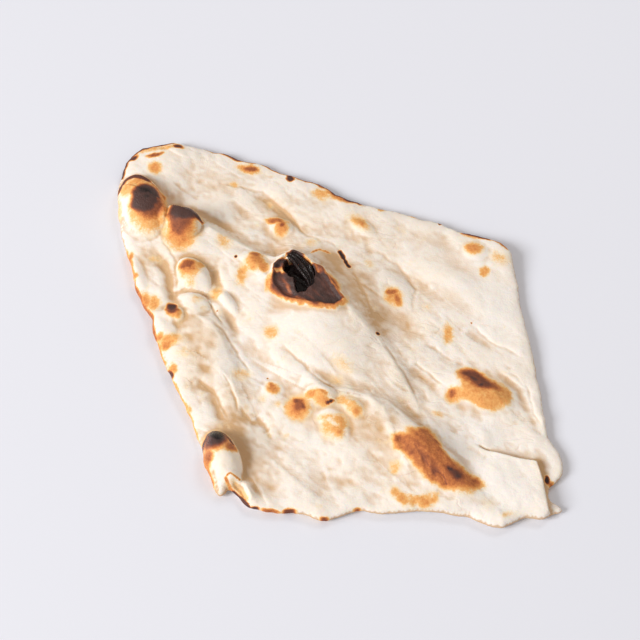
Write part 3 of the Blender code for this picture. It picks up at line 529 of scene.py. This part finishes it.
# ---- the crust: how strongly each of its parts shows ----
MARKS = ("baked", "hollow", "shine", "below", "tanned")
BLOTCHY = 0.36  # how much the broad and the fine mottling change a toasted tone
GRITTY = 0.34
CHARRED = 0.95  # darker tones keep only the next share of that mottling
CHAR_STIR = 0.12
VEIN_THIN = 40.0  # the higher, the thinner
VEIN_TAN_AND_SHADE = 0.11  # shares of tan in thin creases, hollows, the underside and soft tints; all but the underside's are partly painted shade
HOLLOW_TAN_AND_SHADE = 0.42
BELOW_TAN = 0.35
WASH_TAN_AND_SHADE = 1.2
WASH_CREAM_AND_SHADE = 1.6
FLOURED = 0.80  # how much of the skin stays white with flour
ROUGH = 0.66
ROUGH_SPREAD = 0.2
GLOSS = 0.56  # how much smoother glossy char is
BUMP_STRENGTH = 0.7
BUMP_HEIGHT = 0.00035

# ---- light and view, metres: place, size, power and tone of each light ----
KEY_LIGHT = ((-2.36, -0.96, 1.59), 1.2, 82, (1, 0.985, 0.965))
FILL_LIGHT = ((0.6, 0.9, 1.1), 0.4, 3.2, (1, 1, 1))
ROOM_STRENGTH = 0.455
FLOOR_REACH = 2.0
FLOOR_SINK = 0.0001  # keeps the floor clear of the underside
LENS = 80
VIEW_RISE = 60.0  # degrees above the table
VIEW_TARGET = (-0.0035, -0.0027, 0.008)
VIEW_DISTANCE = 0.620


def rounded(points, step):
    """A closed curve through the points, as places about a step apart."""
    ring = np.array(points, float)
    before, after, beyond = np.roll(ring, 1, 0), np.roll(ring, -1, 0), np.roll(ring, -2, 0)
    t = np.linspace(0, 1, 24, endpoint=False)[None, :, None]
    a, b, c, d = (p[:, None, :] for p in (before, ring, after, beyond))
    curve = 0.5 * (
        2 * b + (c - a) * t + (2 * a - 5 * b + 4 * c - d) * t**2 + (3 * b - a - 3 * c + d) * t**3
    )
    curve = curve.reshape(-1, 2)
    lengths = np.hypot(*(np.roll(curve, -1, 0) - curve).T)
    run = np.concatenate([[0], np.cumsum(lengths)])
    count = int(round(run[-1] / step))
    at = np.arange(count) * run[-1] / count
    closed = np.vstack([curve, curve[:1]])
    return np.column_stack([np.interp(at, run, closed[:, k]) for k in (0, 1)])


def outward(ring):
    """The outward direction at each place of a clockwise ring."""
    ahead = np.roll(ring, -1, 0) - np.roll(ring, 1, 0)
    ahead /= np.hypot(*ahead.T)[:, None]
    return np.column_stack([-ahead[:, 1], ahead[:, 0]])


def smooth(t):
    t = np.clip(t, 0, 1)
    return t * t * (3 - 2 * t)


def ripple(x, y, length, seed):
    """Smooth unevenness, mostly between -1 and 1, with swells about one length across along the grain."""
    slopes = np.random.default_rng(seed).normal(0, 1, (RIPPLE_GRID, RIPPLE_GRID, 2))
    c, s = math.cos(math.radians(GRAIN)), math.sin(math.radians(GRAIN))
    u = (x * c + y * s) / (length * STRETCH) + 100.3
    v = (y * c - x * s) / length + 100.7
    i, j = np.floor(u).astype(int), np.floor(v).astype(int)
    p, q = u - i, v - j
    total = np.zeros_like(x)
    for di in (0, 1):
        for dj in (0, 1):
            slope = slopes[(i + di) % RIPPLE_GRID, (j + dj) % RIPPLE_GRID]
            corner = slope[..., 0] * (p - di) + slope[..., 1] * (q - dj)
            total += corner * smooth(1 - np.abs(p - di)) * smooth(1 - np.abs(q - dj))
    return 1.6 * total


def ripples(x, y, *waves):
    """Ripples of several sizes together, each given as height, length and seed."""
    return sum(height * ripple(x, y, length, seed) for height, length, seed in waves)


def shaken(x, y, *waves):
    """Places moved about, so that what is drawn at them comes out uneven."""
    others = [(height, length, seed + len(waves)) for height, length, seed in waves]
    return x + ripples(x, y, *waves), y + ripples(x, y, *others)


def turned(x, y, cx, cy, long, wide, turn):
    """Distance from an ellipse's middle, 1 at its edge."""
    c, s = math.cos(math.radians(turn)), math.sin(math.radians(turn))
    u = ((x - cx) * c + (y - cy) * s) / long
    v = ((y - cy) * c - (x - cx) * s) / wide
    return np.hypot(u, v)


def dome(x, y, cx, cy, long, wide, turn, foot):
    """A blister of height 1 that leans to the steep side, where its foot is crisp if foot is small."""
    r = turned(x, y, cx, cy, long, wide, turn)
    side = math.radians(STEEP_SIDE)
    q = ((x - cx) * math.cos(side) + (y - cy) * math.sin(side)) / math.hypot(long, wide) * 1.4
    foot = foot + GENTLE_FOOT * np.clip(0.3 - q, 0, 1)
    return np.clip(1 - r * r, 0, 1) ** foot * (1 + LEAN * np.clip(q, -1, 1))


def shares(points):
    """The share of a line's length passed at each of its points."""
    line = np.array(points, float)[:, :2]
    lengths = np.hypot(*(line[1:] - line[:-1]).T)
    return np.concatenate([[0], np.cumsum(lengths)]) / lengths.sum()


def beside(points, x, y):
    """Distance to a line, positive on the left of travel, and the share of its length passed."""
    line = np.array(points, float)[:, :2]
    passed = shares(points)
    best = np.full(x.shape, np.inf)
    side = np.zeros_like(x)
    share = np.zeros_like(x)
    for k, (a, b) in enumerate(zip(line[:-1], line[1:])):
        d = b - a
        t = np.clip(((x - a[0]) * d[0] + (y - a[1]) * d[1]) / (d @ d), 0, 1)
        gap = np.hypot(x - a[0] - t * d[0], y - a[1] - t * d[1])
        turn = np.where(d[0] * (y - a[1]) - d[1] * (x - a[0]) >= 0, 1.0, -1.0)
        nearer = gap < best - 1e-9
        best = np.where(nearer, gap, best)
        side = np.where(nearer, turn, side)
        share = np.where(nearer, passed[k] + t * (passed[k + 1] - passed[k]), share)
    return best * side, share


def ends(share, fade=0.18):
    """Fades a long feature out towards both of its ends."""
    near = np.minimum(share, 1 - share) / fade
    return 0.35 + 0.65 * np.sin(0.5 * math.pi * np.clip(near, 0, 1))


def ridge(points, wide, x, y):
    """A ridge of height 1 along a line, lower at its ends."""
    gap, share = beside(points, x, y)
    return np.exp(-((gap / wide) ** 2)) * ends(share)


def inside(points, x, y):
    """Distance in from a closed line, negative outside it."""
    gap = np.abs(beside(tuple(points) + (points[0],), x, y)[0])
    ring = np.array(points, float)
    odd = np.zeros(x.shape, bool)
    for a, b in zip(ring, np.roll(ring, -1, 0)):
        crosses = (a[1] > y) != (b[1] > y)
        run = b[1] - a[1] if b[1] != a[1] else 1.0
        odd ^= crosses & (x < a[0] + (y - a[1]) * (b[0] - a[0]) / run)
    return np.where(odd, gap, -gap)


def along_crest(points, x, y):
    """Distance to a crest, positive on its steep side, and its rise and steep reach there.

    Far from the crest all three are averaged over its nearest stretch, so its bends leave no mark.
    """
    line = np.array(points, float)
    at = shares(points)
    gap, share = beside(points, x, y)
    values = [np.abs(gap), np.interp(share, at, line[:, 2]), np.interp(share, at, line[:, 3])]
    length = np.hypot(*(line[1:, :2] - line[:-1, :2]).T).sum()
    stops = np.linspace(0, 1, int(length / CREST_STEP) + 2)
    stations = np.column_stack([np.interp(stops, at, line[:, k]) for k in range(4)])
    away = np.hypot(x[:, None] - stations[:, 0], y[:, None] - stations[:, 1])
    nearest = away.min(1)
    weight = np.exp((nearest[:, None] - away) / (0.08 * nearest[:, None] + 0.8))
    weight /= weight.sum(1)[:, None]
    averaged = [(weight * away).sum(1), weight @ stations[:, 2], weight @ stations[:, 3]]
    far = smooth((nearest - 2) / 6)
    distance, rise, reach = ((1 - far) * a + far * b for a, b in zip(values, averaged))
    return distance * np.sign(gap), rise, reach


def crests(x, y, least_reach, share_of_rise):
    """Height of the crests, with their steep sides blunted to a least reach."""
    z = np.zeros_like(x)
    for points, gentle in CRESTS:
        gap, rise, reach = along_crest(points, x, y)
        steep = np.exp(-((np.abs(gap) / np.maximum(reach, least_reach)) ** STEEP_FALL))
        z += share_of_rise * rise * np.where(gap > 0, steep, np.exp(-((gap / gentle) ** 2)))
    return z


def under(x, y):
    """Height of the underside: zero where the leaf has settled on the table."""
    lift = crests(x, y, UNDER_REACH, UNDER_SHARE) - SETTLE
    for cx, cy, long, wide, turn, rise in WAVES:
        lift += rise * np.exp(-(turned(x, y, cx, cy, long, wide, turn) ** 2))
    lift += ripples(x, y, *UNDER_RIPPLES)
    return np.where(lift > 0, lift**2 / (np.abs(lift) + SOFT), 0.0)


def relief(x, y):
    """What the top adds to the thickness of the leaf."""
    z = ripples(x, y, TOP_RIPPLE)
    z += crests(x, y, 0, 1) - crests(x, y, UNDER_REACH, UNDER_SHARE)
    for *place, rise, foot in BLISTERS:
        z += rise * dome(x, y, *place, foot)
    for points, wide, depth in CREASES:
        z -= depth * ridge(points, wide, x, y)
    z += CURL_RISE * ridge(CURL, CURL_WIDE, x, y) - CURL_DEPTH * ridge(CURL_SLIT, SLIT_WIDE, x, y)
    return z + flap(x, y) + burst(x, y)


def flap(x, y):
    """The step from the lower strip up to the corner flap."""
    gap, share = beside(FLAP_EDGE, x, y)
    up = smooth(0.5 - gap / STEP_WIDTH)
    fade = np.where(gap < 0, np.exp(-((gap / FLAP_REACH) ** 2)), 1.0)
    sunk = -0.45 * np.exp(-((gap / STRIP_REACH) ** 2)) * (1 - up)
    return FLAP_STEP * smooth(share / 0.3) * (0.55 * up * fade + sunk)


def burst(x, y):
    """The burst blister: a raised lip, a sunk plate and a deep hole with steep sides."""
    into = inside(BURST_LIP, x, y)
    hole = inside(HOLE, *shaken(x, y, (0.5, 2.6, 51)))
    z = LIP_RISE * np.exp(-((into / LIP_WIDE) ** 2)) - PLATE_DEPTH * smooth(into / LIP_WIDE)
    z -= HOLE_DEPTH * smooth(hole / HOLE_SIDE + 0.2)
    z += HOLE_LIP * np.exp(-((hole / 0.7) ** 2))
    return z + ripples(x, y, (0.3, 2.2, 53)) * smooth(into / 2)


def rim(edge):
    """Share of the full thickness at a distance in from the edge."""
    t = np.clip(1 - edge / RIM_ROLL, 0, 1)
    return RIM_SHARE + (1 - RIM_SHARE) * np.sqrt(1 - t * t)


def calm(x, y):
    """Share of the fine relief that each place keeps: the far right and the bright slope are smooth."""
    quiet = sum(np.exp(-(turned(x, y, *place) ** 2)) for place in SMOOTH_PARTS)
    return 1 - 0.6 * np.clip(quiet, 0, 1)


def drawn_out(x, y, times):
    """Places squeezed along the grain, so that what is worked out there comes out drawn along it."""
    c, s = math.cos(math.radians(GRAIN)), math.sin(math.radians(GRAIN))
    u, v = (x * c + y * s) / times, y * c - x * s
    return u * c - v * s, u * s + v * c


def wrinkles(x, y):
    """Fine relief: soft unevenness, shallow creased steps along the grain, and single creases."""
    z = ripples(x, y, *SKIN_RIPPLES)
    for height, length, seed in SKIN_STEPS:
        across = ripple(*drawn_out(x, y, 2.4), length, seed)
        here = smooth(0.35 + 1.1 * ripple(x, y, 24, seed + 10))
        z += height * here * np.tanh(across / 0.07) * np.exp(-np.abs(across) / 0.3)
    z *= calm(x, y)
    wx, wy = shaken(x, y, (0.5, 4, 47))
    for points, wide, depth in FINE_CREASES:
        gap, share = beside(points, wx, wy)
        lean = 0.25 * depth * np.tanh(gap / wide) * np.exp(-np.abs(gap) / 3.0)
        z += CREASE_SHARE * (lean - depth * np.exp(-((gap / wide) ** 2))) * ends(share)
    return z


def bubbles(x, y):
    """Small bubbles scattered over the skin, crowding the left strip and the near left part."""
    rng = np.random.default_rng(7)
    z = np.zeros_like(x)
    for _ in range(BUBBLES):
        cx, cy = rng.uniform(-95, 95), rng.uniform(-95, 95)
        size = rng.uniform(*BUBBLE_SIZE)
        height = size * rng.uniform(*BUBBLE_RISE)
        turn, long = rng.uniform(-80, 0), rng.uniform(1.0, 1.5)
        keep = 1.0 if cx < -25 and cy < 40 else 0.4
        near = (np.abs(x - cx) < 6) & (np.abs(y - cy) < 6)
        if rng.uniform() < keep and near.any():
            z[near] += height * dome(x[near], y[near], cx, cy, size * long, size, turn, 1.15)
    return z


def faces_at(x, y, edge):
    """Heights of the underside and of the top, which meet in a round at the very edge."""
    base = under(x, y)
    shape = relief(x, y) + (wrinkles(x, y) + bubbles(x, y)) * smooth(0.3 + edge / 3)
    full = np.maximum(DOUGH + shape, THINNEST)
    share = rim(edge)
    tuck = (DOUGH * (1 - share)) * TUCK
    low, top = base + tuck, base + tuck + full * share
    turn = np.sqrt(1 - (1 - np.clip(edge / EDGE_ROUND, 0, 1)) ** 2)
    middle = 0.5 * (low + top)
    return middle - (middle - low) * turn, middle + (top - middle) * turn


def baked(x, y):
    """How dark the top is baked."""
    wx, wy = shaken(x, y, (0.55, 4.5, 31), (0.3, 1.9, 32))
    dark = np.zeros_like(x)
    for *place, tone, soft in SPOTS:
        r = turned(wx, wy, *place)
        dark = np.maximum(dark, tone * (1 - smooth((r - 1) / (1.5 * soft) + 0.5)))
    for points, wide, tone in LINES:
        gap, _ = beside(points, 0.5 * (x + wx), 0.5 * (y + wy))
        dark = np.maximum(dark, tone * (1 - smooth((np.abs(gap) - 0.6 * wide) / wide)))
    for points, tone, soft in PATCHES:
        dark = np.maximum(dark, tone * smooth(inside(points, wx, wy) / soft + 0.5))
    into = inside(SCORCH, wx, wy)
    dark = np.maximum(dark, 1.05 * smooth(into / 2.2 + 0.5))
    for *place, tone in PLATES:
        dark += (tone - dark) * (1 - smooth(turned(wx, wy, *place) - 0.4))
    dark = np.maximum(dark, 1.25 * smooth(inside(HOLE, x, y) / 1.2 + 0.2))
    gap, share = beside(FRINGE, wx, wy)
    gap = np.abs(gap) + ripples(x, y, (0.5, 1.2, 38))
    tone = FRINGE_TONE + FRINGE_INNER * np.exp(-np.maximum(-into, 0) / FRINGE_FADE)
    dark = np.maximum(dark, tone * (1 - smooth(gap / FRINGE_WIDTH - 0.3)) * ends(share))
    for points, wide, tone in EDGES:
        gap, share = beside(points, wx, wy)
        dark += (tone - dark) * (1 - smooth(np.abs(gap) / wide - 0.5)) * ends(share)
    for cx, cy, size in SPECKS:
        dark = np.maximum(dark, 1.1 * (1 - smooth(np.hypot(x - cx, y - cy) / size - 0.5)))
    return dark


def rim_burns(x, y, edge):
    """Scorch along stretches of the torn rim."""
    _, share = beside(OUTLINE + OUTLINE[:1], x, y)
    into = edge + ripples(x, y, (0.4, 3, 37))
    dark = np.zeros_like(x)
    for start, end, wide, tone in RIM_BURNS:
        here = smooth((share - start) / BURN_FADE + 0.5) * smooth((end - share) / BURN_FADE + 0.5)
        dark = np.maximum(dark, tone * here * (1 - smooth(into / wide - 0.6)))
    return dark


def shine(x, y):
    """Where charred skin is glossy: the burst, most of all its hole, and the blisters' dark caps."""
    gloss = np.maximum(smooth(inside(HOLE, x, y) / 1.5 + 0.8), 0.55 * smooth(inside(SCORCH, x, y)))
    for *place, share in GLOSSY:
        gloss = np.maximum(gloss, share * (1 - smooth(turned(x, y, *place) * 1.4 - 0.9)))
    return gloss


def tanned(x, y):
    """Strength of the soft tan tints, which in shaded hollows are painted shade."""
    wx, wy = shaken(x, y, (1.2, 9, 35))
    return sum(strength * np.exp(-(turned(wx, wy, *place) ** 2)) for *place, strength in WASHES)


def lattice(low, high, step):
    """Places in staggered rows over a box."""
    row = step * math.sqrt(0.75)
    j, i = np.mgrid[0:int((high[1] - low[1]) / row) + 1, 0:int((high[0] - low[0]) / step) + 1]
    return (low[0] + (i + 0.5 * (j % 2)) * step).ravel(), (low[1] + j * row).ravel()


def edge_gap(ring, rough, x, y):
    """Distance in from the outline, measured closely only near it."""
    gap = inside(rough, x, y)
    near = np.abs(gap) < 4
    gap[near] = inside(ring, x[near], y[near])
    return gap


def finer(x, y):
    """Where the closest points are wanted."""
    near = inside(SCORCH, x, y) > -2
    for *place, rise, _ in BLISTERS:
        if rise > HIGH_BLISTER:
            near |= np.abs(turned(x, y, *place) - 1) < 0.17
    near |= turned(x, y, *NEAR_LEFT) < 1
    for line in (CURL, CURL_SLIT):
        near |= np.abs(beside(line, x, y)[0]) < 3
    for line in [FLAP_EDGE] + [points for points, _, _ in FINE_CREASES]:
        near |= np.abs(beside(line, x, y)[0]) < 1.2
    for points, _ in CRESTS[:2]:
        near |= np.abs(beside(points, x, y)[0] - 2) < 2.2
    for cx, cy, _ in SPECKS:
        near |= np.hypot(x - cx, y - cy) < 1.4
    return near


def outline_ring():
    """The torn outline, close up, and a plainer one for quick tests."""
    ring = rounded(OUTLINE, EDGE_STEP)
    x, y = ring[:, 0], ring[:, 1]
    fray = FRAY * ripples(x, y, (1, 7, 21), (0.6, 3.6, 22))
    torn_here = smooth((-70 - y) / 10)
    fray += (TEAR + (NEAR_TEAR - TEAR) * torn_here) * ripples(x, y, (1, 2.2, 23), (0.6, 1.1, 24))
    ring = ring + outward(ring) * fray[:, None]
    low, high = ring.min(0), ring.max(0)
    span = np.array([SPAN_X, SPAN_Y]) - 2 * MARGIN
    ring = (ring - (low + high) / 2) * span / (high - low)
    return ring, ring[::4]


def triangulated(ring, points):
    """Triangles over the ring and the points in it, as places, triangles and the ring's own numbers."""
    count = len(ring)
    loop = [(k, (k + 1) % count) for k in range(count)]
    flat = delaunay_2d_cdt([Vector(p) for p in np.vstack([ring, points])], loop, [], 1, 1e-6)
    places = np.array([tuple(p) for p in flat[0]])
    triangles = np.array([face[:] for face in flat[2]])
    a, b, c = (places[triangles[:, k]] for k in range(3))
    turned_over = np.cross(b - a, c - a) < 0
    triangles[turned_over] = triangles[turned_over][:, ::-1]
    number = {first: k for k, found in enumerate(flat[3]) for first in found if first < count}
    return places, triangles, np.array([number[k] for k in range(count)])


def skin_points(ring, rough, steps, rows):
    """Points for one face: rows along the edge and a lattice, closer where it matters."""
    found = []
    for inset in rows:
        row = ring - outward(ring) * inset
        keep = inside(ring, row[:, 0], row[:, 1]) > 0.85 * inset
        found.append(row[keep])
    for k, step in enumerate(steps):
        x, y = lattice(ring.min(0), ring.max(0), step)
        keep = edge_gap(ring, rough, x, y) > rows[-1] + 0.4 * step
        x, y = x[keep], y[keep]
        if len(steps) > 1:
            close = finer(x, y)
            x, y = x[close == (k > 0)], y[close == (k > 0)]
        found.append(np.column_stack([x, y]))
    return np.vstack(found)


def smoothed(values, triangles, times):
    """Values averaged over their neighbours, several times."""
    pairs = np.vstack([triangles[:, (0, 1)], triangles[:, (1, 2)], triangles[:, (2, 0)]])
    a, b = np.concatenate([pairs[:, 0], pairs[:, 1]]), np.concatenate([pairs[:, 1], pairs[:, 0]])
    count = np.bincount(a, minlength=len(values))
    for _ in range(times):
        values = 0.5 * values + 0.5 * np.bincount(a, values[b], len(values)) / np.maximum(count, 1)
    return values


def hollowed(z, triangles):
    """How deep each place lies below its surroundings: positive in creases, negative on crests."""
    return sum(
        np.clip((smoothed(z, triangles, times) - z) / depth, -1, 1) for times, depth in SURROUNDINGS
    )


def made(name, vertices, faces, **marks):
    """A smooth-shaded piece with its marks as attributes of its points, zero where none are given."""
    mesh = bpy.data.meshes.new(name)
    mesh.from_pydata((vertices / 1000.0).tolist(), [], faces)
    mesh.update()
    for key in MARKS:
        values = np.zeros(len(vertices)) + marks.get(key, 0)
        mesh.attributes.new(key, "FLOAT", "POINT").data.foreach_set("value", values.astype(np.float32))
    mesh.polygons.foreach_set("use_smooth", [True] * len(mesh.polygons))
    mesh.materials.append(CRUST)
    piece = bpy.data.objects.new(name, mesh)
    bpy.context.scene.collection.objects.link(piece)
    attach(piece, "root")
    return piece


def bread():
    """The whole skin, top and underside, and what the hood needs: outlines and greatest height."""
    ring, rough = outline_ring()
    top, up, top_ring = triangulated(ring, skin_points(ring, rough, (SKIN_STEP, FINE_STEP), EDGE_ROWS))
    low, down, low_ring = triangulated(ring, skin_points(ring, rough, (UNDER_STEP,), UNDER_ROWS))
    x, y = top.T
    edge = np.maximum(edge_gap(ring, rough, x, y), 0)
    edge[top_ring] = 0
    z = faces_at(x, y, edge)[1]
    highest = solid_box[1][2] * 1000 - MARGIN
    over = np.maximum(z - highest + PEAK_ROUND, 0)
    z = np.minimum(z, highest - PEAK_ROUND + PEAK_ROUND * np.tanh(over / PEAK_ROUND))
    lx, ly = low.T
    low_edge = np.maximum(edge_gap(ring, rough, lx, ly), 0)
    lz = faces_at(lx, ly, low_edge)[0]

    place = np.full(len(low), -1)
    place[low_ring] = top_ring
    fresh = place < 0
    place[fresh] = len(top) + np.arange(fresh.sum())
    faces = up.tolist() + place[down][:, ::-1].tolist()

    def both(above, below=np.zeros(len(low))):
        return np.concatenate([above, below[fresh]])

    toasted = 0.22 * smooth(ripple(lx, ly, 12, 61)) + 0.3 * smooth(1.6 * ripple(lx, ly, 7, 62) - 0.6)
    piece = made(
        "naan_skin", both(np.column_stack([x, y, z]), np.column_stack([lx, ly, lz])), faces,
        baked=both(np.maximum(baked(x, y), rim_burns(x, y, edge)),
                   np.maximum(toasted, rim_burns(lx, ly, low_edge))),
        # the hollows and the tints darken the skin's colour, partly as painted shade
        hollow=both(hollowed(z, up)), shine=both(shine(x, y)), tanned=both(tanned(x, y)),
        below=both(0.3 * np.exp(-edge / 0.5), np.ones(len(low))),
    )
    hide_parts("naan")
    return ring, rough, highest


def placed(points, share):
    """Places at shares of a line's length."""
    line = np.array(points, float)
    return np.column_stack([np.interp(share, shares(points), line[:, k]) for k in (0, 1)])


def eased(line, times):
    """Evens out a line of places or heights between its ends."""
    for _ in range(times):
        line[1:-1] = 0.25 * line[:-2] + 0.5 * line[1:-1] + 0.25 * line[2:]
    return line


def hood(ring, rough, highest):
    """A thin folded sheet of scorched skin standing over the hole's far side, closed round its edge."""
    along, across = np.linspace(0, 1, 71), np.linspace(0, 1, 41)
    outer, inner = (eased(placed(line, along), 8) for line in (HOOD_OUTER, HOOD_INNER))
    beyond = outer + 0.25 * (outer - inner)
    skin = eased(faces_at(*beyond.T, edge_gap(ring, rough, *beyond.T))[1], 30)
    free = skin[0] + (skin[-1] - skin[0]) * along + HOOD_ARCH * np.sin(math.pi * along)
    s, t = np.meshgrid(along, across, indexing="ij")
    x, y = (outer[:, None, k] * (1 - t) + inner[:, None, k] * t for k in (0, 1))
    fold = -np.cos(2 * math.pi * HOOD_FOLDS * t + 0.8 * ripple(x, y, 6, 71))
    fold *= np.sqrt(np.sin(math.pi * s).clip(0, 1))
    z = (skin[:, None] - HOOD_ROOT) * (1 - t) + free[:, None] * t + HOOD_FOLD * fold
    z = np.minimum(z, highest - HOOD_THICK)
    away = np.minimum(np.minimum(s, 1 - s) * 20, np.minimum(t, 1 - t) * 8)
    thick = 0.5 * HOOD_THICK * np.sqrt(1 - (1 - away.clip(0, 1)) ** 2)
    rimmed = (away <= 0).ravel()
    upper = np.arange(s.size).reshape(s.shape)
    lower = np.where(rimmed, upper.ravel(), 0)
    lower[~rimmed] = s.size + np.arange((~rimmed).sum())
    lower = lower.reshape(s.shape)
    top = np.column_stack([x.ravel(), y.ravel(), (z + thick).ravel()])
    below = np.column_stack([x.ravel(), y.ravel(), (z - thick).ravel()])[~rimmed]
    faces = []
    for i, j in np.ndindex(s.shape[0] - 1, s.shape[1] - 1):
        corners = (i, j), (i, j + 1), (i + 1, j + 1), (i + 1, j)
        faces.append([int(upper[corner]) for corner in corners])
        faces.append([int(lower[corner]) for corner in (corners[0],) + corners[:0:-1]])
    made("scorched_hood", np.vstack([top, below]), faces, baked=HOOD_TONE, shine=1)


def fed(tree, found, inputs):
    """Gives a node its inputs, each a value or another node's socket. Colours get an alpha of 1."""
    for key, value in inputs:
        socket = found.inputs[key]
        if isinstance(value, bpy.types.NodeSocket):
            tree.links.new(value, socket)
        else:
            socket.default_value = (*value, 1.0) if socket.type == "RGBA" else value
    return found


def node(tree, kind, inputs=(), **settings):
    """A new shader node with its settings and its inputs."""
    found = tree.nodes.new(kind)
    for key, value in settings.items():
        setattr(found, key, value)
    return fed(tree, found, inputs)


def crust():
    """Baked skin: floury cream, mottled and streaked along the grain, toasted and charred by its marks."""
    material = bpy.data.materials.new("crust_skin")
    material.use_nodes = True
    tree = material.node_tree
    shader = tree.nodes["Principled BSDF"]
    where = node(tree, "ShaderNodeTexCoord").outputs["Object"]

    def scaled(across, turn):
        turned = (0, 0, math.radians(turn))
        inputs = ("Vector", where), ("Scale", (across, 1000, 1000)), ("Rotation", turned)
        return node(tree, "ShaderNodeMapping", inputs).outputs[0]
    mm, grain = scaled(1000, 0), scaled(420, -GRAIN)

    def noise(space, scale, detail, rough=0.55):
        inputs = ("Vector", space), ("Scale", scale), ("Detail", detail), ("Roughness", rough)
        return node(tree, "ShaderNodeTexNoise", inputs).outputs["Fac"]

    def reckoned(operation):
        def result(a, b=0.0, clamp=False):
            inputs = enumerate((a, b))
            return node(tree, "ShaderNodeMath", inputs, operation=operation, use_clamp=clamp).outputs[0]
        return result

    def blended(share, a, b):
        inputs = (0, share), (6, a), (7, b)
        return node(tree, "ShaderNodeMix", inputs, data_type="RGBA", clamp_factor=True).outputs[2]

    add, less, times = (reckoned(operation) for operation in ("ADD", "SUBTRACT", "MULTIPLY"))
    dark, hollow, gloss, below, tint_and_shade = (
        node(tree, "ShaderNodeAttribute", attribute_name=name).outputs["Fac"] for name in MARKS)
    patches, blotch, pores = noise(mm, 0.075, 4), noise(mm, 0.5, 6, 0.62), noise(mm, 2.4, 3)
    streaks, fine = noise(grain, 0.42, 5), noise(mm, 1.1, 4, 0.7)

    # how dark the crust is, broken up where it is toasted
    stir = add(times(less(blotch, 0.5), BLOTCHY), times(less(fine, 0.5), GRITTY))
    stir = times(stir, times(dark, 5.0, True))
    even = add(times(times(less(CHARRED, dark), 3.0, True), 1 - CHAR_STIR), CHAR_STIR)
    tone = add(add(dark, times(stir, even)), less(noise(mm, 0.16, 5, 0.6), 0.6, True))

    # thin creases, here and there: pressed into the bump, and tan in them as painted shade
    veins = reckoned("ABSOLUTE")(less(noise(grain, 0.13, 2, 0.45), 0.5))
    veins = less(1.0, times(veins, VEIN_THIN), True)
    veins = times(veins, times(less(noise(mm, 0.07, 2), 0.48), 6.0, True))

    # pale skin: flour over cream, then tan in its hollows, thin creases, tints and underside; all of that
    # tan but the underside's is partly painted shade
    cream = add(add(times(patches, 1.5), times(streaks, 0.9)), times(tint_and_shade, WASH_CREAM_AND_SHADE))
    pale = blended(less(cream, FLOURED, True), PALE, CREAM)
    tan_and_shade_share = add(add(times(hollow, HOLLOW_TAN_AND_SHADE), times(below, BELOW_TAN)), times(tint_and_shade, WASH_TAN_AND_SHADE))
    pale = blended(add(tan_and_shade_share, times(veins, VEIN_TAN_AND_SHADE), True), pale, TAN)

    ramp = node(tree, "ShaderNodeValToRGB", ((0, reckoned("DIVIDE")(tone, TONE_TOP, True)),))
    stops = ramp.color_ramp.elements
    for k, (at, colour) in enumerate(TONES):
        stop = stops[k] if k < 2 else stops.new(at / TONE_TOP)
        stop.position = at / TONE_TOP
        stop.color = (*colour, 1.0)
    colour = blended(times(less(tone, 0.02), 4.0, True), pale, ramp.outputs[0])

    # gloss: the skin is dull and a little uneven, and some of the char shines
    rough = less(add(times(fine, ROUGH_SPREAD), ROUGH), times(gloss, GLOSS), True)

    # fine bumps, and flakes where it is charred
    height = add(add(times(pores, 0.25), times(fine, 0.7)), times(streaks, 0.9))
    height = less(height, times(veins, 0.5))
    inputs = ("Vector", mm), ("Scale", 0.9)
    flakes = node(tree, "ShaderNodeTexVoronoi", inputs, feature="DISTANCE_TO_EDGE")
    height = add(height, times(times(flakes.outputs[0], times(less(dark, 0.55), 2.0, True)), 1.1))
    inputs = ("Height", height), ("Strength", BUMP_STRENGTH), ("Distance", BUMP_HEIGHT)
    bump = node(tree, "ShaderNodeBump", inputs)

    fed(tree, shader, (
        ("Base Color", colour), ("Roughness", rough), ("Normal", bump.outputs[0]),
        ("Subsurface Weight", 0.12), ("Subsurface Radius", (1.0, 0.5, 0.25)), ("Subsurface Scale", 0.0025),
        ("Specular IOR Level", 0.3)))
    return material


def light(name, place, size, energy, colour):
    lamp = bpy.data.lights.new(name, "AREA")
    lamp.size = size
    lamp.energy = energy
    lamp.color = colour
    held = bpy.data.objects.new(name, lamp)
    bpy.context.scene.collection.objects.link(held)
    held.location = place
    held.rotation_euler = (-Vector(place)).to_track_quat("-Z", "Y").to_euler()


def studio():
    """A plain pale floor, soft light from the left, and the camera."""
    scene = bpy.context.scene
    mesh = bpy.data.meshes.new("floor")
    corners = ((-1, -1), (1, -1), (1, 1), (-1, 1))
    corners = [(a * FLOOR_REACH, b * FLOOR_REACH, -FLOOR_SINK) for a, b in corners]
    mesh.from_pydata(corners, [], [(0, 1, 2, 3)])
    floor = bpy.data.objects.new("floor", mesh)
    scene.collection.objects.link(floor)
    matt = bpy.data.materials.new("floor_matt")
    matt.use_nodes = True
    shader = matt.node_tree.nodes["Principled BSDF"]
    fed(matt.node_tree, shader, (("Base Color", FLOOR_TONE), ("Roughness", 0.6)))
    mesh.materials.append(matt)
    light("key", *KEY_LIGHT)
    light("fill", *FILL_LIGHT)
    world = bpy.data.worlds.new("room")
    world.use_nodes = True
    sky = world.node_tree.nodes["Background"]
    fed(world.node_tree, sky, (("Color", ROOM_TONE), ("Strength", ROOM_STRENGTH)))
    scene.world = world
    scene.view_settings.view_transform = "Standard"

    lens = bpy.data.cameras.new("camera")
    lens.lens = LENS
    lens.sensor_width = 36
    lens.clip_start = 0.01
    camera = bpy.data.objects.new("camera", lens)
    scene.collection.objects.link(camera)
    rise = math.radians(VIEW_RISE)
    back = Vector((0, -math.cos(rise), math.sin(rise)))
    camera.location = Vector(VIEW_TARGET) + VIEW_DISTANCE * back
    camera.rotation_euler = (-back).to_track_quat("-Z", "Y").to_euler()
    scene.camera = camera


CRUST = crust()
hood(*bread())
studio()
